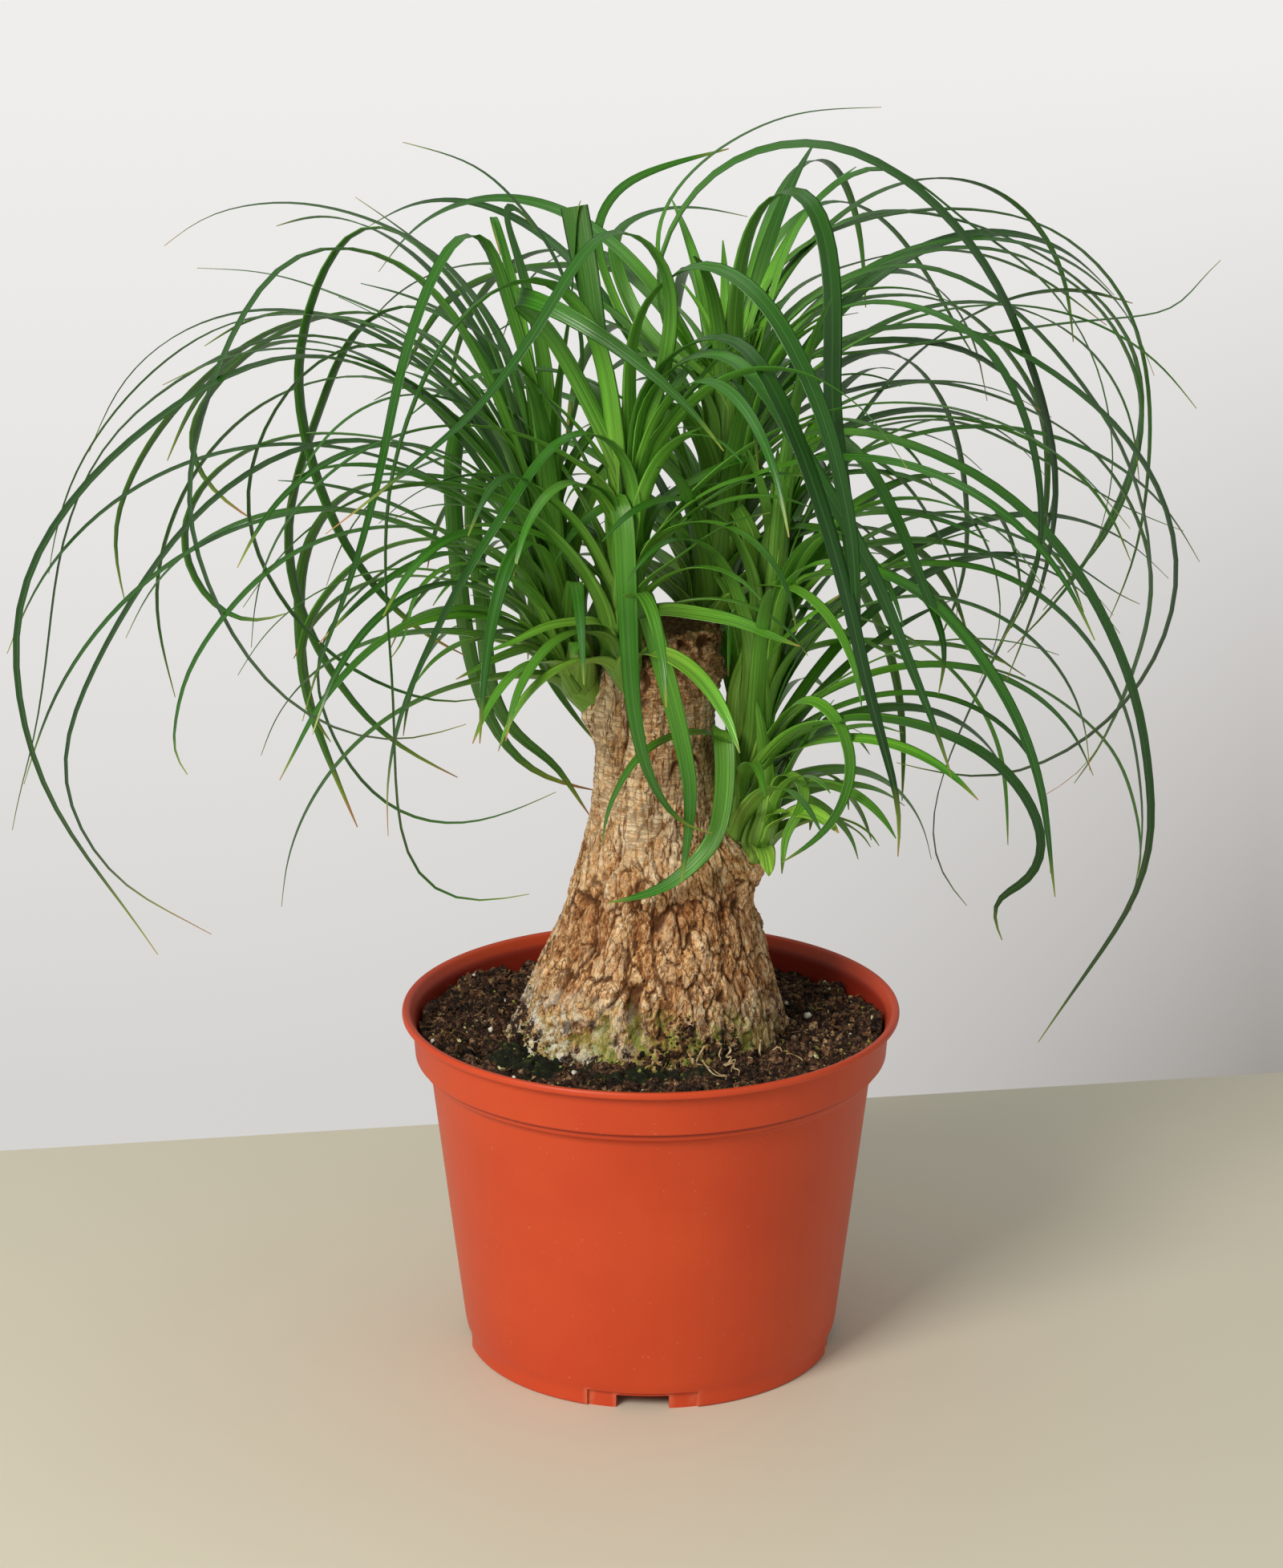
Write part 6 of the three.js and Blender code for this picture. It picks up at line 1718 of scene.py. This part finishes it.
def livingLeaf():
    # a live strap leaf: waxy, deep green, paler below and at its base, with fine parallel veins and a dry
    # tip; painted glow at the base, painted sheen in the vein streaks and a painted highlight down the keel
    material, tree = newMaterial("leafWaxyVeined")
    alongShare, distance, acrossMm, leafTone, dryShare, upperSide = (
        addNode(tree, "Attribute", attribute_name=name).outputs["Fac"]
        for name in ("alongShare", "distance", "acrossMm", "leafTone", "dryShare", "upperSide"))
    # colour along the leaf, from the fresh base to 260 mm out; the bright base is partly its own pale colour
    # and partly painted glow of light shining through the leaf
    baseToneAndGlow = addNode(tree, "MapRange", {"Value": distance, "From Min": 6, "From Max": 260})
    body = addNode(tree, "ValToRGB", {0: baseToneAndGlow})
    setStops(body, [(0.0, "#A8D45C"), (0.06, "#BCF066"), (0.2, "#8CDA4A"), (0.38, "#478E22"),
                    (0.6, "#2F6A17"), (1.0, "#1A4A08")])
    # each leaf its own green
    own = addNode(tree, "ValToRGB", {0: leafTone})
    setStops(own, [(0.0, "#7C8C6A"), (0.5, "#D2DABE"), (1.0, "#FFFFE0")])
    toned = addNode(tree, "Mix", {0: 0.8, 6: body, 7: own}, data_type="RGBA", blend_type="MULTIPLY")
    under = addNode(tree, "MapRange", {"Value": upperSide, "From Min": 0.1, "From Max": -0.3, "To Max": 0.4})
    sided = addNode(tree, "Mix", {0: under, 6: toned, 7: linear("#6CA64A")}, data_type="RGBA")
    # parallel veins every 0.5 mm, wavering a little; their dark streaks between paler ones stand partly for
    # the veins and partly for painted sheen
    veinPlace = addNode(tree, "CombineXYZ", {0: acrossMm, 1: distance, 2: leafTone})
    veinScale = addNode(tree, "Mapping", {0: veinPlace, 3: (2.0, 0.012, 40)})
    veins = addNode(tree, "TexNoise", {"Vector": veinScale, "Scale": 1, "Detail": 2, "Roughness": 0.5})
    veinAndSheenTone = addNode(tree, "MapRange", {"Value": veins, "From Min": 0.35, "From Max": 0.62, "To Max": 0.5})
    veined = addNode(tree, "Mix", {0: veinAndSheenTone, 6: sided, 7: linear("#1C4D0E")}, data_type="RGBA")
    # painted highlight: a thin pale line down the middle, where the keel would catch the light
    off = addNode(tree, "Math", {0: acrossMm}, operation="ABSOLUTE")
    keelHighlight = addNode(tree, "MapRange", {"Value": off, "From Min": 0.3, "From Max": 0.05, "To Max": 0.18},
                   interpolation_type="SMOOTHSTEP")
    keelHighlighted = addNode(tree, "Mix", {0: keelHighlight, 6: veined, 7: linear("#6FAE5C")}, data_type="RGBA")
    # the tip yellows, then dries to straw
    left = addNode(tree, "Math", {0: 1.0, 1: alongShare}, operation="SUBTRACT")
    dryness = addNode(tree, "Math", {0: dryShare, 1: left}, operation="SUBTRACT")
    yellow = addNode(tree, "MapRange", {"Value": dryness, "From Min": -0.06, "From Max": 0.0})
    yellowed = addNode(tree, "Mix", {0: yellow, 6: keelHighlighted, 7: linear("#7F9436")}, data_type="RGBA")
    dry = addNode(tree, "MapRange", {"Value": dryness, "From Min": 0.0, "From Max": 0.02})
    dried = addNode(tree, "Mix", {0: dry, 6: yellowed, 7: linear("#B08352")}, data_type="RGBA")
    bump = addNode(tree, "Bump", {"Height": veins, "Strength": 0.5, "Distance": 0.0005})
    shader = addNode(tree, "BsdfPrincipled", {"Base Color": dried, "Roughness": 0.3, "Normal": bump,
                                              "IOR": 1.45, "Specular IOR Level": 0.5})
    finishMaterial(tree, shader)
    return material


def makeHeads(tree):
    placed = placeLeaves()
    print("leaves placed:", len(placed))
    material = livingLeaf()
    for number, shoot in enumerate(shoots):
        draw = drawsFrom(301 + number)
        strands = ([stemStrand(shoot["stem"])] + youngLeaves(shoot, draw) + shorterLeaves(shoot, draw)
                   + longerLeaves(shoot, draw))
        for leaf in placed:
            if leaf["owner"] == shoot["name"]:
                dryShare = 0.004 + 0.05 * draw() ** 4
                strands.append(strand(leaf["course"], leaf["wide"], leaf["twist"], draw(), dryShare,
                                      shoot["stem"]))
        if cutLeaf["shoot"] == shoot["name"]:
            strands.append(strand(cutLeaf["course"], cutLeaf["wide"], cutLeaf["twist"], cutLeaf["tone"],
                                  cutLeaf["dryShare"], tip=cutLeaf["tip"]))
            strands[-1]["distance"] += cutLeaf["age"]
        made = sweptBlades(shoot["name"] + "_leaves", strands, tree, material)
        dress(made, material, [shoot["name"]])
        print("leaves of", shoot["name"], len(strands))


bladesTree = bladeTree()
makeHeads(bladesTree)


# Roots: thin pale ones that leave the trunk's foot and run over the soil

roots = {
    "count": 5, "from": -80, "to": -40, "start": 7, "length": (8, 14),
    "thick": 0.5, "thin": 0.18, "steps": 24,
    "rows": 9, "wander": 0.1, "footRadius": 47, "outside": 1.6, "dropRows": 3, "runRows": 6,
    "lift": 0.9, "liftSpread": 0.8,
}


def rootStrand(draw, turn, climb, length, thick):
    # down the flare of the trunk, then out over the soil with small bends
    line = []
    reach, height = 0.0, climb
    for _ in range(roots["rows"]):
        turn += roots["wander"] * (draw() - 0.5)
        x, y = roots["footRadius"] * math.cos(turn), roots["footRadius"] * math.sin(turn)
        ground = float(soilTopAt(np.array([x]), np.array([y]))[0])
        if height > 0:
            middle, radius = trunkMiddleAt(ground + height)
            out = float(radius) + roots["outside"]
            line.append([float(middle) + out * math.cos(turn), out * math.sin(turn), ground + height])
            height -= climb / roots["dropRows"]
            reach = out
            continue
        reach += length / roots["runRows"]
        x, y = reach * math.cos(turn), reach * math.sin(turn)
        place = np.array([x]), np.array([y])
        line.append([x, y, float(soilTopAt(*place)[0] + clodsAt(*place)[0]) + roots["lift"]
                     + roots["liftSpread"] * draw()])
    even = evenly(line, roots["steps"])
    ahead, sides, _ = frameAlong(even)
    share = np.arange(len(even)) / roots["steps"]
    radius = thick + (roots["thin"] - thick) * share
    count = len(even)
    return {"point": even, "across": sides, "face": np.cross(ahead, sides), "half": radius,
            "fold": np.zeros(count), "thick": radius, "alongShare": share, "distance": share * length,
            "leafTone": np.full(count, draw()), "dryShare": np.zeros(count)}


def youngRoot():
    # young roots: pale cream where they were damp, buff where they dried
    material, tree = newMaterial("rootsYoungCream")
    place = addNode(tree, "TexCoord").outputs["Object"]
    mottle = addNode(tree, "TexNoise", {"Vector": place, "Scale": 500, "Detail": 4})
    body = addNode(tree, "ValToRGB", {0: mottle})
    setStops(body, [(0.35, "#7A5F3F"), (0.5, "#B8A074"), (0.68, "#E0D0A8")])
    bump = addNode(tree, "Bump", {"Height": mottle, "Strength": 0.5, "Distance": 0.0004})
    shader = addNode(tree, "BsdfPrincipled", {"Base Color": body, "Roughness": 0.7, "Normal": bump})
    finishMaterial(tree, shader)
    return material


def makeRoots(tree):
    draw = drawsFrom(501)
    strands = []
    for i in range(roots["count"]):
        turn = math.radians(roots["from"] + (roots["to"] - roots["from"]) * (i + draw()) / roots["count"])
        strands.append(rootStrand(draw, turn, roots["start"] * (0.4 + 0.9 * draw()),
                                  drawnIn(roots["length"], draw), roots["thick"] * (0.5 + 0.5 * draw())))
    made = sweptBlades("foot_roots", strands, tree, youngRoot())
    dress(made, made.data.materials[0])
    print("roots:", len(strands))


makeRoots(bladesTree)
